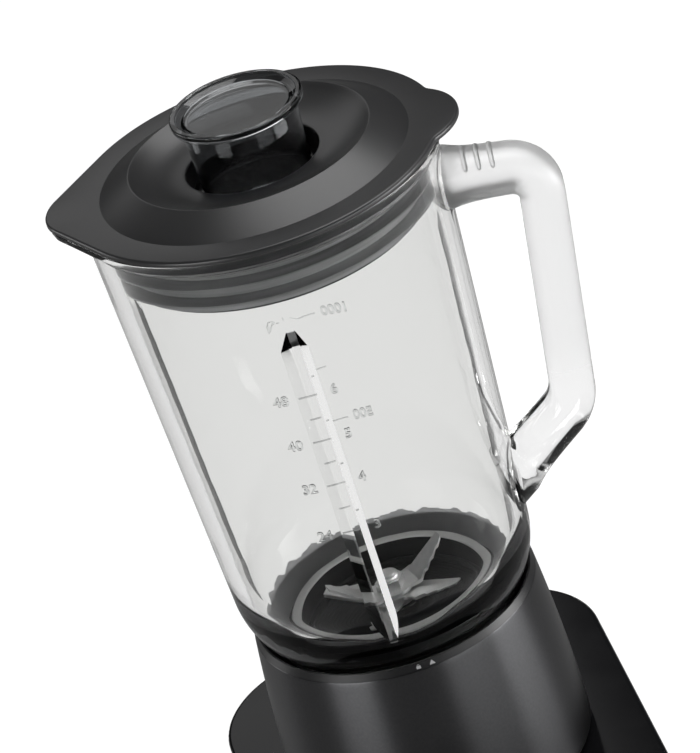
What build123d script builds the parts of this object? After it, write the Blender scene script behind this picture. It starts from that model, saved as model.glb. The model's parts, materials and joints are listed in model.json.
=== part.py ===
from build123d import *
from math import atan, cos, degrees, radians, sin, sqrt, tan
import os

os.makedirs("parts", exist_ok=True)

# Countertop blender with a glass jug, in millimetres and degrees.
# Z is the drive axis and Z = 0 is the table. The front, with the knob, faces -Y.

# Driving dimensions: clearances
shaft_fit = 0.05
slide_gap = 0.4
lift_gap = 0.5

# Driving dimensions: plinth and feet
plinth_width = 176.0
plinth_depth = 228.0
plinth_corner = 50.0
plinth_height = 36.0
plinth_wall = 2.6
plinth_roof = 3.0
plinth_edge = 2.0
spigot_height = 5.0
spigot_wall = 2.0
foot_r = 9.0
foot_height = 3.0
foot_recess = 1.0
foot_inset = 34.0
foot_chamfer = 1.0
cover_thickness = 2.5
cover_screw_inset_x = 20.0
cover_screw_inset_y = 24.0
cover_screw_r = 1.6
cover_screw_head_r = 3.0
cover_screw_head = 1.6
cover_screw_bite = 9.0
screw_boss_wall = 2.8
vent_length = 7.0
vent_width = 2.6
vent_ring_radii = (14.0, 26.0)
vent_counts = (8, 16)

# Driving dimensions: body shell and collar
body_height = 85.0
body_top_r = 62.5
body_base_r = 67.0
body_bulge = 0.9
body_round = 6.0
body_wall = 1.4
body_lip = 2.6
body_flange = 0.6
collar_lip = 3.0
collar_bevel = 1.5
collar_land = 0.8
collar_slope = 4.0
collar_slope_in = 3.0
collar_skirt_wall = 2.2
socket_wall = 4.0
dam_r = 29.5
dam_bore_r = 17.0
dam_height = 3.0
leg_r = 4.5
leg_count = 3
leg_play = 1.0
leg_start = 90.0
leg_screw_r = 1.6
leg_screw_head_r = 3.0
leg_screw_head = 2.4
leg_screw_bite = 12.0

# Driving dimensions: jug seat and safety interlock
jug_angle = -9.0
lock_turn = 85.0
lock_ring_play = 4.2
lock_ring_height = 6.0
lug_count = 3
lug_length = 8.0
lug_width = 14.0
lug_depth = 4.5
lug_inset = 2.0
plunger_r = 2.0
plunger_inset = 6.0
plunger_angle = 180.0
plunger_travel = 2.0
plunger_stop_r = 3.2
plunger_stop_height = 1.4
ramp_width = 7.0
ramp_margin = 6.0
switch_length = 20.0
switch_width = 6.5
switch_height = 10.0
switch_tab = 2.5
button_r = 1.6
button_height = 5.0
button_proud = 0.8

# Driving dimensions: jug
jug_sink = 4.0
jug_height = 219.5
jug_overhang = 1.7
jug_flare = 10.8
glass_wall = 6.2
glass_floor = 7.0
foot_curve_start = 28.0
foot_edge_inset = 2.0
floor_curve_start = 22.0
floor_land = 4.5
neck_wall = 6.0
neck_length = 8.0
rim_lip = 2.0
rim_lip_height = 4.0
spout_length = 12.5
spout_tip_r = 23.0
spout_wall = 5.0
spout_depth = 2.0
rib_angles = (-90.0, 0.0, 180.0)
rib_low = 24.0
rib_high = 177.0
rib_point = 9.0
rib_depth = 3.5
rib_width = 12.4
rib_crest = 3.2
rib_root = 2.0
handle_thick = 19.0
handle_wide = 22.0
handle_edge = 7.0
handle_upper_z = 187.0
handle_upper_stand = 35.7
handle_upper_drop = 4.4
handle_lower_z = 75.4
handle_lower_stand = 23.0
handle_lower_drop = 36.0
handle_upper_bend = 13.0
handle_lower_bend = 20.0
grip_bar_r = 1.3
grip_bar_stands = (7.0, 12.6, 18.2)
gasket_height = 2.0
gasket_lip = 1.2
foot_ring_play = 3.2
foot_ring_wall = 6.5
foot_ring_ledge = 3.5
foot_ring_rise = 1.0
foot_ring_edge = 1.0

# Driving dimensions: blade unit
holder_flange = 3.0
holder_wall = 2.5
holder_rise = 9.0
holder_dish_drop = 2.5
holder_plate = 2.6
holder_hub_r = 10.5
holder_hub_height = 8.0
bush_r = 7.0
blade_shaft_r = 4.0
seal_height = 2.0
coupling_r = 15.0
coupling_disc = 3.5
dog_inner_r = 6.0
dog_outer_r = 14.0
dog_width = 36.0
dog_height = 5.5
dog_play = 2.0
blade_thickness = 1.6
blade_hub_r = 9.0
blade_root_width = 12.0
blade_tip_width = 4.5
blade_tooth_count = 4
blade_tooth = 1.8
blade_tooth_share = 0.7
blade_flat_r = 11.0
lower_turn = 62.0
lower_bend = -14.0
lower_reach = 30.0
middle_turn = -28.0
middle_bend = 6.0
middle_reach = 31.0
upper_turn = 12.0
upper_bend = 40.0
upper_reach = 27.0
spacer_r = 7.0
spacer_height = 1.0
first_spacer_height = 1.6
nut_r = 6.5
nut_height = 4.5
nut_dome_r = 4.8
nut_dome_height = 2.5
nut_dome_round = 2.0

# Driving dimensions: lid and cup
lid_overhang = 1.0
lid_flange = 2.5
lid_wall = 2.5
lid_spout_over = 1.1
lid_spout_tip_r = 24.0
lid_tab_length = 8.0
lid_tab_r = 29.0
lid_tab_blend = 8.0
lid_cone_out = 3.8
lid_cone_run = 14.3
lid_ridge_rise = 7.8
lid_ridge_round = 1.5
lid_bowl_run = 11.0
lid_bowl_rise = 3.0
lid_hole_r = 28.0
lid_hole_rise = 1.5
lid_hole_round = 1.0
lid_play = 7.3
lid_plug_depth = 30.0
sleeve_bore_r = 24.9
sleeve_ledge = 8.0
sleeve_depth = 20.0
seal_wall = 1.9
seal_lip_height = 3.0
seal_lips = (4.0, 12.0, 20.0)
seal_low = 2.0
seal_high = 3.0
cup_rim_r = 27.9
cup_rim_height = 4.5
cup_top_r = 24.2
cup_base_r = 22.4
cup_wall = 2.0
cup_stand = 27.0
cup_height = 49.0
cup_bead_r = 26.8
cup_bead_height = 2.0
cup_rim_slope = 1.4
cup_sink = 2.2
cup_step = 0.9
cup_ring_wall = 2.6

# Driving dimensions: motor
motor_shaft_r = 4.0
bearing_r = 11.0
bearing_width = 7.0
bearing_cup_wall = 3.5
bearing_cup_over = 1.5
bearing_shoulder_r = 6.5
bracket_plate = 4.0
bracket_core_r = 20.0
bracket_arm = 13.0
bracket_boss_r = 7.0
mount_inset = 2.0
mount_boss_drop = 3.0
mount_boss_r = 4.5
mount_screw_r = 2.0
mount_screw_head_r = 3.5
mount_screw_head = 2.8
mount_screw_bite = 5.0
grommet_r = 7.0
grommet_height = 3.0
motor_room = 6.0
stator_yoke = 8.0
pole_length = 11.5
stator_height = 26.0
pole_inset = 8.5
pole_shoe = 3.0
pole_shoe_angle = 100.0
post_r = 5.0
upper_post = 8.0
lower_post = 24.0
motor_bolt_r = 2.0
motor_bolt_head_r = 3.6
motor_bolt_head = 2.8
coil_shoe_gap = 1.1
coil_thick = 4.8
coil_wide = 5.4
coil_gap = 0.6
coil_clear = 1.0
coil_round = 3.0
rotor_gap = 0.5
rotor_slot_count = 12
rotor_slot_depth = 8.0
rotor_slot_width = 3.0
rotor_slot_mouth = 1.4
rotor_land = 1.0
winding_height = 4.5
winding_bore_r = 6.0
slot_liner = 0.2
commutator_r = 11.0
commutator_length = 13.0
commutator_bar_count = 24
commutator_slit = 0.5
commutator_slit_depth = 1.0
commutator_riser = 2.0
riser_r = 12.5
brush_wide = 8.0
brush_tall = 8.0
brush_length = 15.0
brush_gap = 0.3
brush_fit = 0.1
brush_lift = 5.0
brush_holder_wall = 3.0
brush_holder_start = 15.0
brush_spring_length = 7.0
brush_spring_strip = 0.5
brush_zig_count = 4
fan_r = 36.0
fan_plate = 1.5
fan_blade_height = 5.0
fan_blade = 1.4
fan_blade_count = 14
fan_hub_r = 9.0
fan_gap = 1.0
fan_blade_lean = 20.0

# Driving dimensions: controls and cord inlet
knob_gap = 5.0
knob_margin = 4.0
knob_height = 15.0
knob_taper = 1.5
knob_flute_count = 24
knob_flute_r = 1.2
knob_pointer_inset = 7.0
knob_pointer_width = 2.2
knob_pointer_rise = 0.6
knob_bore_depth = 9.0
selector_size = 24.0
selector_height = 13.0
selector_shaft_r = 3.0
selector_socket = 8.0
board_width = 62.0
board_depth = 30.0
board_setback = 48.0
board_thickness = 1.6
board_lift = 5.5
board_post_r = 3.0
board_pin_r = 1.3
board_pin_height = 1.0
board_hole_inset = 4.5
capacitor_size = (18.0, 9.0, 13.0)
heat_sink_size = (14.0, 3.0, 15.0)
header_size = (10.0, 6.0, 8.0)
cord_x = -25.0
cord_height = 15.0
cord_bore_r = 3.5
cord_bush_r = 6.5
cord_flange_r = 9.0
cord_flange = 2.5
cord_inner_r = 8.0
cord_inner = 2.0
terminal_size = (24.0, 14.0, 12.0)
terminal_inset = 22.0
terminal_hole_r = 2.2

# Levels from the table up
plinth_bottom = foot_height
cover_top = plinth_bottom + cover_thickness
plinth_top = plinth_bottom + plinth_height
roof_under = plinth_top - plinth_roof
collar_seat = plinth_top + body_height
collar_top = collar_seat + collar_lip
glass_bottom = collar_seat - jug_sink
rim = glass_bottom + jug_height
floor_top = glass_bottom + glass_floor
neck_bottom = glass_bottom - neck_length
holder_top = neck_bottom - gasket_height
holder_bottom = holder_top - holder_flange
foot_ring_bottom = holder_bottom - foot_ring_ledge
foot_ring_top = glass_bottom + foot_ring_rise
socket_floor = foot_ring_bottom - lock_ring_height
socket_under = socket_floor - socket_wall
bracket_top = socket_under - mount_boss_drop - grommet_height
bracket_under = bracket_top - bracket_plate
stator_top = bracket_under - upper_post
stator_bottom = stator_top - stator_height
stator_middle = (stator_top + stator_bottom) / 2
lower_bracket_top = stator_bottom - lower_post
lower_bracket_under = lower_bracket_top - bracket_plate
upper_bearing_bottom = bracket_top + bearing_cup_over - bearing_width
lower_bearing_top = lower_bracket_top - bearing_cup_over
lower_bearing_bottom = lower_bearing_top - bearing_width
fan_top = lower_bearing_bottom - fan_gap
fan_bottom = fan_top - fan_plate - fan_blade_height
flange_top = rim + lid_flange
ridge_top = flange_top + lid_ridge_rise
hole_top = flange_top + lid_hole_rise
ledge_top = flange_top - sleeve_ledge
sleeve_bottom = flange_top - sleeve_depth
plug_bottom = rim - lid_plug_depth
cup_top = flange_top + cup_stand
cup_bottom = cup_top - cup_height
board_bottom = cover_top + board_lift
board_top = board_bottom + board_thickness

# Radii and places shared by pieces that fit together
body_flange_r = body_base_r - body_round - body_flange
spigot_r = body_flange_r - slide_gap
leg_circle_r = spigot_r - spigot_wall - leg_play - leg_r
well_r = leg_circle_r - leg_r
stator_r = well_r - motor_room
stator_yoke_r = stator_r - stator_yoke
stator_bore_r = stator_yoke_r - pole_length
pole_half_width = stator_bore_r - pole_inset
motor_bolt_circle_r = stator_r - stator_yoke / 2
mount_circle_r = stator_r - mount_inset
socket_r = body_top_r - collar_bevel - collar_land - collar_slope_in
skirt_r = socket_r + collar_skirt_wall
lock_ring_r = socket_r - lock_ring_play
plunger_circle_r = lock_ring_r - plunger_inset
foot_ring_r = socket_r - foot_ring_play
neck_r = foot_ring_r - foot_ring_wall
neck_bore_r = neck_r - neck_wall
foot_edge_r = foot_ring_r - foot_edge_inset
floor_edge_r = neck_bore_r + floor_land
jug_base_r = body_top_r + jug_overhang
jug_rim_r = jug_base_r + jug_flare
rim_lip_r = jug_rim_r + rim_lip
spout_reach = jug_rim_r + spout_length
handle_upper_reach = jug_rim_r + handle_upper_stand
handle_lower_reach = jug_rim_r + handle_lower_stand
lid_r = rim_lip_r + lid_overhang
lid_spout_reach = spout_reach + lid_spout_over
lid_tab_reach = lid_r + lid_tab_length
lid_skirt_r = jug_rim_r - glass_wall - lid_play
lid_cone_r = lid_skirt_r + lid_cone_out
lid_ridge_r = lid_cone_r - lid_cone_run
lid_bowl_r = lid_ridge_r - lid_bowl_run
foot_spacing_x = plinth_width - 2 * foot_inset
foot_spacing_y = plinth_depth - 2 * foot_inset
screw_spacing_x = plinth_width - 2 * cover_screw_inset_x
screw_spacing_y = plinth_depth - 2 * cover_screw_inset_y
cover_margin = plinth_wall + slide_gap
knob_r = (plinth_depth / 2 - body_base_r - knob_gap - knob_margin) / 2
knob_y = -body_base_r - knob_gap - knob_r
knob_pointer_length = knob_r - knob_pointer_inset
board_y = -plinth_depth / 2 + board_setback
board_hole_x = board_width - 2 * board_hole_inset
board_hole_y = board_depth - 2 * board_hole_inset
cord_z = plinth_bottom + cord_height
lug_circle_r = dam_r + lug_inset + slide_gap + lug_length / 2
rotor_r = stator_bore_r - rotor_gap
coupling_bottom = socket_floor + lift_gap
dog_bottom = coupling_bottom + coupling_disc
dog_top = dog_bottom + dog_height
driven_disc_bottom = dog_top + lift_gap
driven_disc_top = driven_disc_bottom + coupling_disc
hub_under = driven_disc_top + lift_gap
hub_floor = hub_under + holder_plate
hub_top = hub_floor + holder_hub_height
holder_rim = holder_top + holder_rise
plunger_stop_top = socket_under - plunger_travel - lift_gap
plunger_bottom = plunger_stop_top - plunger_stop_height
switch_top = plunger_bottom - button_proud


def side_plane(angle):
    """Vertical plane through the drive axis, its X direction pointing out at angle."""
    turn = radians(angle)
    return Plane((0, 0, 0), x_dir=(cos(turn), sin(turn), 0), z_dir=(sin(turn), -cos(turn), 0))


def wall_r(z):
    """Outer radius of the glass wall at height z."""
    return jug_base_r + (jug_rim_r - jug_base_r) * (z - glass_bottom) / jug_height


def inner_r(z):
    """Inner radius of the glass wall at height z."""
    return wall_r(z) - glass_wall


def ring_sector(small_r, large_r, middle, width):
    """Add a sector of a ring to the current sketch."""
    with BuildLine() as outline:
        outer = CenterArc((0, 0), large_r, middle - width / 2, width)
        inner = CenterArc((0, 0), small_r, middle - width / 2, width)
        Line(outer @ 0, inner @ 0)
        Line(outer @ 1, inner @ 1)
    make_face(outline.edges())


def blade_outline(reach):
    """Points of one arm seen from above, along +X, with a stepped cutting edge on its clockwise side."""
    root = blade_root_width / 2
    tip = blade_tip_width / 2
    step = (reach - blade_flat_r) / blade_tooth_count
    points = [(0, -root), (blade_flat_r, -root), (reach, -tip)]
    for tooth in range(blade_tooth_count):
        x = reach - tooth * step
        y = tip + (root - tip) * (reach - x) / (reach - blade_flat_r)
        points += [(x, y), (x - step * blade_tooth_share, y + blade_tooth)]
    points += [(blade_flat_r, root), (0, root)]
    return [(x, -y) for x, y in reversed(points)]


def add_blade(bottom, turn, bend, reach):
    """Add a two-armed stamped blade, its arms bent by bend degrees, to the current part."""
    rise = (reach - blade_flat_r) * tan(radians(bend))
    with BuildSketch(side_plane(turn)) as side:
        with BuildLine():
            Polyline(
                (-reach, bottom + rise),
                (-blade_flat_r, bottom),
                (blade_flat_r, bottom),
                (reach, bottom + rise),
                (reach, bottom + rise + blade_thickness),
                (blade_flat_r, bottom + blade_thickness),
                (-blade_flat_r, bottom + blade_thickness),
                (-reach, bottom + rise + blade_thickness),
                close=True,
            )
        make_face()
    extrude(side.sketch, amount=blade_root_width, both=True)
    with BuildSketch(Plane.XY.offset(bottom - reach).rotated((0, 0, turn))) as plan:
        Circle(blade_hub_r)
        for half_turn in (0, 180):
            with Locations(Location((0, 0, 0), (0, 0, half_turn))):
                Polygon(*blade_outline(reach), align=None)
        Circle(blade_shaft_r + shaft_fit, mode=Mode.SUBTRACT)
    extrude(plan.sketch, amount=3 * reach, mode=Mode.INTERSECT)


# Planes of the jug, whose handle stands at jug_angle from +X
jug_top_plane = Plane.XY.rotated((0, 0, jug_angle))
jug_side_plane = side_plane(jug_angle)

# Rubber feet, set into the bottom cover
with BuildPart() as rubber_feet:
    with BuildSketch():
        with GridLocations(foot_spacing_x, foot_spacing_y, 2, 2):
            Circle(foot_r)
    extrude(amount=foot_height + foot_recess)
    chamfer(rubber_feet.edges().group_by(Axis.Z)[0], foot_chamfer)
rubber_feet.part.label = "rubber_feet"
export_step(rubber_feet.part, "parts/rubber_feet.step")

# Bottom cover with vents, foot pockets and posts for the board
with BuildPart() as bottom_cover:
    with BuildSketch(Plane.XY.offset(plinth_bottom)):
        RectangleRounded(
            plinth_width - 2 * cover_margin,
            plinth_depth - 2 * cover_margin,
            plinth_corner - cover_margin,
        )
        for ring_r, ring_count in zip(vent_ring_radii, vent_counts):
            with PolarLocations(ring_r, ring_count):
                SlotOverall(vent_length, vent_width, mode=Mode.SUBTRACT)
        with GridLocations(screw_spacing_x, screw_spacing_y, 2, 2):
            Circle(cover_screw_r + shaft_fit, mode=Mode.SUBTRACT)
    extrude(amount=cover_thickness)
    with BuildSketch(Plane.XY.offset(plinth_bottom)):
        with GridLocations(foot_spacing_x, foot_spacing_y, 2, 2):
            Circle(foot_r + slide_gap)
    extrude(amount=foot_recess, mode=Mode.SUBTRACT)
    with BuildSketch(Plane.XY.offset(plinth_bottom)):
        with GridLocations(screw_spacing_x, screw_spacing_y, 2, 2):
            Circle(cover_screw_head_r + slide_gap)
    extrude(amount=cover_screw_head, mode=Mode.SUBTRACT)
    with BuildSketch(Plane.XY.offset(cover_top)):
        with Locations((0, board_y)):
            with GridLocations(board_hole_x, board_hole_y, 2, 2):
                Circle(board_post_r)
    extrude(amount=board_lift)
    with BuildSketch(Plane.XY.offset(board_bottom)):
        with Locations((0, board_y)):
            with GridLocations(board_hole_x, board_hole_y, 2, 2):
                Circle(board_pin_r)
    extrude(amount=board_thickness + board_pin_height)
bottom_cover.part.label = "bottom_cover"
export_step(bottom_cover.part, "parts/bottom_cover.step")

# Plinth: a tray open underneath, with the motor well and the body's locating spigot
with BuildPart() as plinth:
    with BuildSketch(Plane.XY.offset(plinth_bottom)):
        RectangleRounded(plinth_width, plinth_depth, plinth_corner)
    extrude(amount=plinth_height)
    fillet(plinth.faces().sort_by(Axis.Z)[-1].edges(), plinth_edge)
    with BuildSketch(Plane.XY.offset(plinth_bottom)):
        RectangleRounded(
            plinth_width - 2 * plinth_wall,
            plinth_depth - 2 * plinth_wall,
            plinth_corner - plinth_wall,
        )
    extrude(amount=plinth_height - plinth_roof, mode=Mode.SUBTRACT)
    with BuildSketch(Plane.XY.offset(plinth_top)):
        Circle(spigot_r)
        Circle(spigot_r - spigot_wall, mode=Mode.SUBTRACT)
    extrude(amount=spigot_height)
    with BuildSketch(Plane.XY.offset(cover_top)):
        with GridLocations(screw_spacing_x, screw_spacing_y, 2, 2):
            Circle(cover_screw_r + screw_boss_wall)
    extrude(amount=roof_under - cover_top)
    with BuildSketch(Plane.XY.offset(cover_top)):
        with GridLocations(screw_spacing_x, screw_spacing_y, 2, 2):
            Circle(cover_screw_r + shaft_fit)
    extrude(amount=cover_screw_bite + lift_gap, mode=Mode.SUBTRACT)
    with BuildSketch(Plane.XY.offset(roof_under)):
        Circle(well_r)
        with Locations((0, knob_y)):
            Circle(selector_shaft_r + slide_gap)
        with PolarLocations(leg_circle_r, leg_count, leg_start):
            Circle(leg_screw_r + shaft_fit)
    extrude(amount=plinth_roof, mode=Mode.SUBTRACT)
    with BuildSketch(Plane.XZ.offset(-plinth_depth / 2)):
        with Locations((cord_x, cord_z)):
            Circle(cord_bush_r + shaft_fit)
    extrude(amount=plinth_wall, mode=Mode.SUBTRACT)
plinth.part.label = "plinth"
export_step(plinth.part, "parts/plinth.step")

# Screws of the bottom cover
with BuildPart() as cover_screws:
    with BuildSketch(Plane.XY.offset(plinth_bottom)):
        with GridLocations(screw_spacing_x, screw_spacing_y, 2, 2):
            Circle(cover_screw_head_r)
    extrude(amount=cover_screw_head)
    with BuildSketch(Plane.XY.offset(plinth_bottom + cover_screw_head)):
        with GridLocations(screw_spacing_x, screw_spacing_y, 2, 2):
            Circle(cover_screw_r)
    extrude(amount=cover_thickness - cover_screw_head + cover_screw_bite)
cover_screws.part.label = "cover_screws"
export_step(cover_screws.part, "parts/cover_screws.step")

# Body shell: a slightly bowed metal sleeve, rolled in at the bottom and lipped at the top
body_middle_r = (body_top_r + body_base_r) / 2 + body_bulge
body_middle_z = (plinth_top + body_round + collar_seat) / 2
body_bend_r = body_base_r - body_round
body_bend_z = plinth_top + body_round
inner_bend = body_round - body_wall
with BuildPart() as body_shell:
    with BuildSketch(Plane.XZ):
        with BuildLine():
            Line((body_flange_r, plinth_top), (body_bend_r, plinth_top))
            ThreePointArc(
                (body_bend_r, plinth_top),
                (body_bend_r + body_round * sin(radians(45)), body_bend_z - body_round * cos(radians(45))),
                (body_base_r, body_bend_z),
            )
            ThreePointArc(
                (body_base_r, body_bend_z),
                (body_middle_r, body_middle_z),
                (body_top_r, collar_seat),
            )
            Polyline(
                (body_top_r, collar_seat),
                (body_top_r - body_lip, collar_seat),
                (body_top_r - body_lip, collar_seat - body_wall),
                (body_top_r - body_wall, collar_seat - body_wall),
            )
            ThreePointArc(
                (body_top_r - body_wall, collar_seat - body_wall),
                (body_middle_r - body_wall, body_middle_z),
                (body_base_r - body_wall, body_bend_z),
            )
            ThreePointArc(
                (body_base_r - body_wall, body_bend_z),
                (body_bend_r + inner_bend * sin(radians(45)), body_bend_z - inner_bend * cos(radians(45))),
                (body_bend_r, plinth_top + body_wall),
            )
            Polyline(
                (body_bend_r, plinth_top + body_wall),
                (body_flange_r, plinth_top + body_wall),
                (body_flange_r, plinth_top),
            )
        make_face()
    revolve(axis=Axis.Z)
body_shell.part.label = "body_shell"
export_step(body_shell.part, "parts/body_shell.step")

# Collar: the jug's socket, with legs down to the plinth and bosses for the motor
with BuildPart() as collar:
    with BuildSketch(Plane.XZ):
        with BuildLine():
            Polyline(
                (dam_bore_r, socket_under),
                (skirt_r, socket_under),
                (skirt_r, collar_seat),
                (body_top_r, collar_seat),
                (body_top_r - collar_bevel, collar_top),
                (body_top_r - collar_bevel - collar_land, collar_top),
                (socket_r, collar_top - collar_slope),
                (socket_r, socket_floor),
                (dam_r, socket_floor),
                (dam_r, socket_floor + dam_height),
                (dam_bore_r, socket_floor + dam_height),
                close=True,
            )
        make_face()
    revolve(axis=Axis.Z)
    with BuildSketch(Plane.XY.offset(plinth_top)):
        with PolarLocations(leg_circle_r, leg_count, leg_start):
            Circle(leg_r)
    extrude(amount=socket_under - plinth_top)
    with BuildSketch(Plane.XY.offset(plinth_top)):
        with PolarLocations(leg_circle_r, leg_count, leg_start):
            Circle(leg_screw_r + shaft_fit)
    extrude(amount=leg_screw_bite + lift_gap, mode=Mode.SUBTRACT)
    with BuildSketch(Plane.XY.offset(socket_under - mount_boss_drop)):
        with PolarLocations(mount_circle_r, 4, 45):
            Circle(mount_boss_r)
    extrude(amount=mount_boss_drop)
    with BuildSketch(Plane.XY.offset(socket_under - mount_boss_drop)):
        with PolarLocations(mount_circle_r, 4, 45):
            Circle(mount_screw_r + shaft_fit)
    extrude(amount=mount_screw_bite + lift_gap, mode=Mode.SUBTRACT)
    with BuildSketch(Plane.XY.offset(switch_top - switch_height).rotated((0, 0, plunger_angle))):
        with Locations((plunger_circle_r + switch_width / 2 + switch_tab / 2, 0)):
            Rectangle(switch_tab, switch_length)
    extrude(amount=socket_under - switch_top + switch_height)
    with BuildSketch(Plane.XY.offset(socket_under)):
        with PolarLocations(plunger_circle_r, 1, plunger_angle):
            Circle(plunger_r + shaft_fit)
    extrude(amount=socket_wall, mode=Mode.SUBTRACT)
collar.part.label = "collar"
export_step(collar.part, "parts/collar.step")

# Screws that hold the collar's legs down to the plinth
with BuildPart() as chassis_screws:
    with BuildSketch(Plane.XY.offset(roof_under - leg_screw_head)):
        with PolarLocations(leg_circle_r, leg_count, leg_start):
            Circle(leg_screw_head_r)
    extrude(amount=leg_screw_head)
    with BuildSketch(Plane.XY.offset(roof_under)):
        with PolarLocations(leg_circle_r, leg_count, leg_start):
            Circle(leg_screw_r)
    extrude(amount=plinth_roof + leg_screw_bite)
chassis_screws.part.label = "chassis_screws"
export_step(chassis_screws.part, "parts/chassis_screws.step")

# Lock ring: turned by the jug's lugs, with a sloping ramp underneath that works the plunger
ramp_rise = plunger_travel / 2 / (plunger_circle_r * sin(radians(lock_turn / 2)))
ramp_tilt = atan(ramp_rise)
ramp_middle = radians(plunger_angle - lock_turn / 2)
ramp_plane = Plane(
    origin=(0, 0, socket_floor + slide_gap + plunger_travel / 2),
    x_dir=(cos(ramp_middle), sin(ramp_middle), 0),
    z_dir=(-sin(ramp_middle) * sin(ramp_tilt), cos(ramp_middle) * sin(ramp_tilt), cos(ramp_tilt)),
)
with BuildPart() as lock_ring:
    with BuildSketch(Plane.XY.offset(socket_floor)):
        Circle(lock_ring_r)
        Circle(dam_r + slide_gap, mode=Mode.SUBTRACT)
    extrude(amount=lock_ring_height)
    with BuildSketch(jug_top_plane.offset(foot_ring_bottom)):
        with PolarLocations(lug_circle_r, lug_count):
            Rectangle(lug_length + 2 * slide_gap, lug_width + 2 * slide_gap)
    extrude(amount=-lug_depth - lift_gap, mode=Mode.SUBTRACT)
    with BuildSketch(ramp_plane):
        ring_sector(
            plunger_circle_r - ramp_width / 2,
            plunger_circle_r + ramp_width / 2,
            0,
            lock_turn + 2 * ramp_margin,
        )
    extrude(amount=-lock_ring_height, mode=Mode.SUBTRACT)
lock_ring.part.label = "lock_ring"
export_step(lock_ring.part, "parts/lock_ring.step")

# Safety switch on the collar's tab, with its button and the plunger that presses it
plunger_side = Plane.XY.rotated((0, 0, plunger_angle))
with BuildPart() as safety_switch:
    with BuildSketch(plunger_side.offset(switch_top - switch_height)):
        with Locations((plunger_circle_r, 0)):
            Rectangle(switch_width, switch_length)
    extrude(amount=switch_height)
    with BuildSketch(plunger_side.offset(switch_top)):
        with Locations((plunger_circle_r, 0)):
            Circle(button_r + shaft_fit)
    extrude(amount=-button_height - lift_gap, mode=Mode.SUBTRACT)
safety_switch.part.label = "safety_switch"
export_step(safety_switch.part, "parts/safety_switch.step")

with BuildPart() as switch_button:
    with BuildSketch(plunger_side.offset(plunger_bottom - button_height)):
        with Locations((plunger_circle_r, 0)):
            Circle(button_r)
    extrude(amount=button_height)
switch_button.part.label = "switch_button"
export_step(switch_button.part, "parts/switch_button.step")

with BuildPart() as interlock_plunger:
    with BuildSketch(plunger_side.offset(plunger_bottom)):
        with Locations((plunger_circle_r, 0)):
            Circle(plunger_r)
    extrude(amount=socket_floor - plunger_bottom)
    with BuildSketch(plunger_side.offset(plunger_bottom)):
        with Locations((plunger_circle_r, 0)):
            Circle(plunger_stop_r)
    extrude(amount=plunger_stop_height)
interlock_plunger.part.label = "interlock_plunger"
export_step(interlock_plunger.part, "parts/interlock_plunger.step")

# Foot ring: screws onto the glass neck, clamps the blade holder and carries the lugs
with BuildPart() as foot_ring:
    with BuildSketch(Plane.XZ):
        with BuildLine():
            Polyline(
                (dam_r + lug_inset, foot_ring_bottom),
                (foot_ring_r, foot_ring_bottom),
                (foot_ring_r, foot_ring_top - foot_ring_edge),
                (foot_ring_r - foot_ring_edge, foot_ring_top - foot_ring_edge),
                (neck_r + slide_gap, foot_ring_top - 2 * foot_ring_edge),
                (neck_r + slide_gap, holder_bottom),
                (dam_r + lug_inset, holder_bottom),
                close=True,
            )
        make_face()
    revolve(axis=Axis.Z)
    with BuildSketch(jug_top_plane.offset(foot_ring_bottom)):
        with PolarLocations(lug_circle_r, lug_count):
            Rectangle(lug_length, lug_width)
    extrude(amount=-lug_depth)
foot_ring.part.label = "foot_ring"
export_step(foot_ring.part, "parts/foot_ring.step")

# Gasket between the blade holder and the glass neck, lining the bore, with a lip that lies on the glass floor
dish_r = neck_bore_r - slide_gap
gasket_lip_r = floor_edge_r - slide_gap
with BuildPart() as jug_gasket:
    with BuildSketch(Plane.XZ):
        with BuildLine():
            Polyline(
                (dish_r + shaft_fit, holder_top),
                (neck_r, holder_top),
                (neck_r, neck_bottom),
                (neck_bore_r - shaft_fit, neck_bottom),
                (neck_bore_r - shaft_fit, floor_top),
                (gasket_lip_r, floor_top),
                (gasket_lip_r, floor_top + gasket_lip),
                (dish_r + shaft_fit, floor_top + gasket_lip),
                close=True,
            )
        make_face()
    revolve(axis=Axis.Z)
jug_gasket.part.label = "jug_gasket"
export_step(jug_gasket.part, "parts/jug_gasket.step")

# Blade holder: a dished plate with a hub for the shaft's bush
dish_edge = holder_rim - holder_dish_drop
with BuildPart() as blade_holder:
    with BuildSketch(Plane.XZ):
        with BuildLine():
            Polyline(
                (dish_r - holder_wall, holder_bottom),
                (neck_r, holder_bottom),
                (neck_r, holder_top),
                (dish_r, holder_top),
                (dish_r, holder_rim),
                (dish_r - holder_wall, holder_rim),
                (dish_r - holder_wall, dish_edge),
                (coupling_r, hub_floor),
                (holder_hub_r, hub_floor),
                (holder_hub_r, hub_top),
                (bush_r + shaft_fit, hub_top),
                (bush_r + shaft_fit, hub_under),
                (coupling_r, hub_under),
                (dish_r - 2 * holder_wall, dish_edge - holder_plate),
                (dish_r - 2 * holder_wall, holder_bottom),
                close=True,
            )
        make_face()
    revolve(axis=Axis.Z)
blade_holder.part.label = "blade_holder"
export_step(blade_holder.part, "parts/blade_holder.step")

# Bush and lip seal in the holder's hub
with BuildPart() as shaft_bush:
    with BuildSketch(Plane.XY.offset(hub_under)):
        Circle(bush_r)
        Circle(blade_shaft_r + shaft_fit, mode=Mode.SUBTRACT)
    extrude(amount=hub_top - hub_under - seal_height)
shaft_bush.part.label = "shaft_bush"
export_step(shaft_bush.part, "parts/shaft_bush.step")

with BuildPart() as shaft_seal:
    with BuildSketch(Plane.XY.offset(hub_top - seal_height)):
        Circle(bush_r)
        Circle(blade_shaft_r + shaft_fit, mode=Mode.SUBTRACT)
    extrude(amount=seal_height)
shaft_seal.part.label = "shaft_seal"
export_step(shaft_seal.part, "parts/shaft_seal.step")

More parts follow.
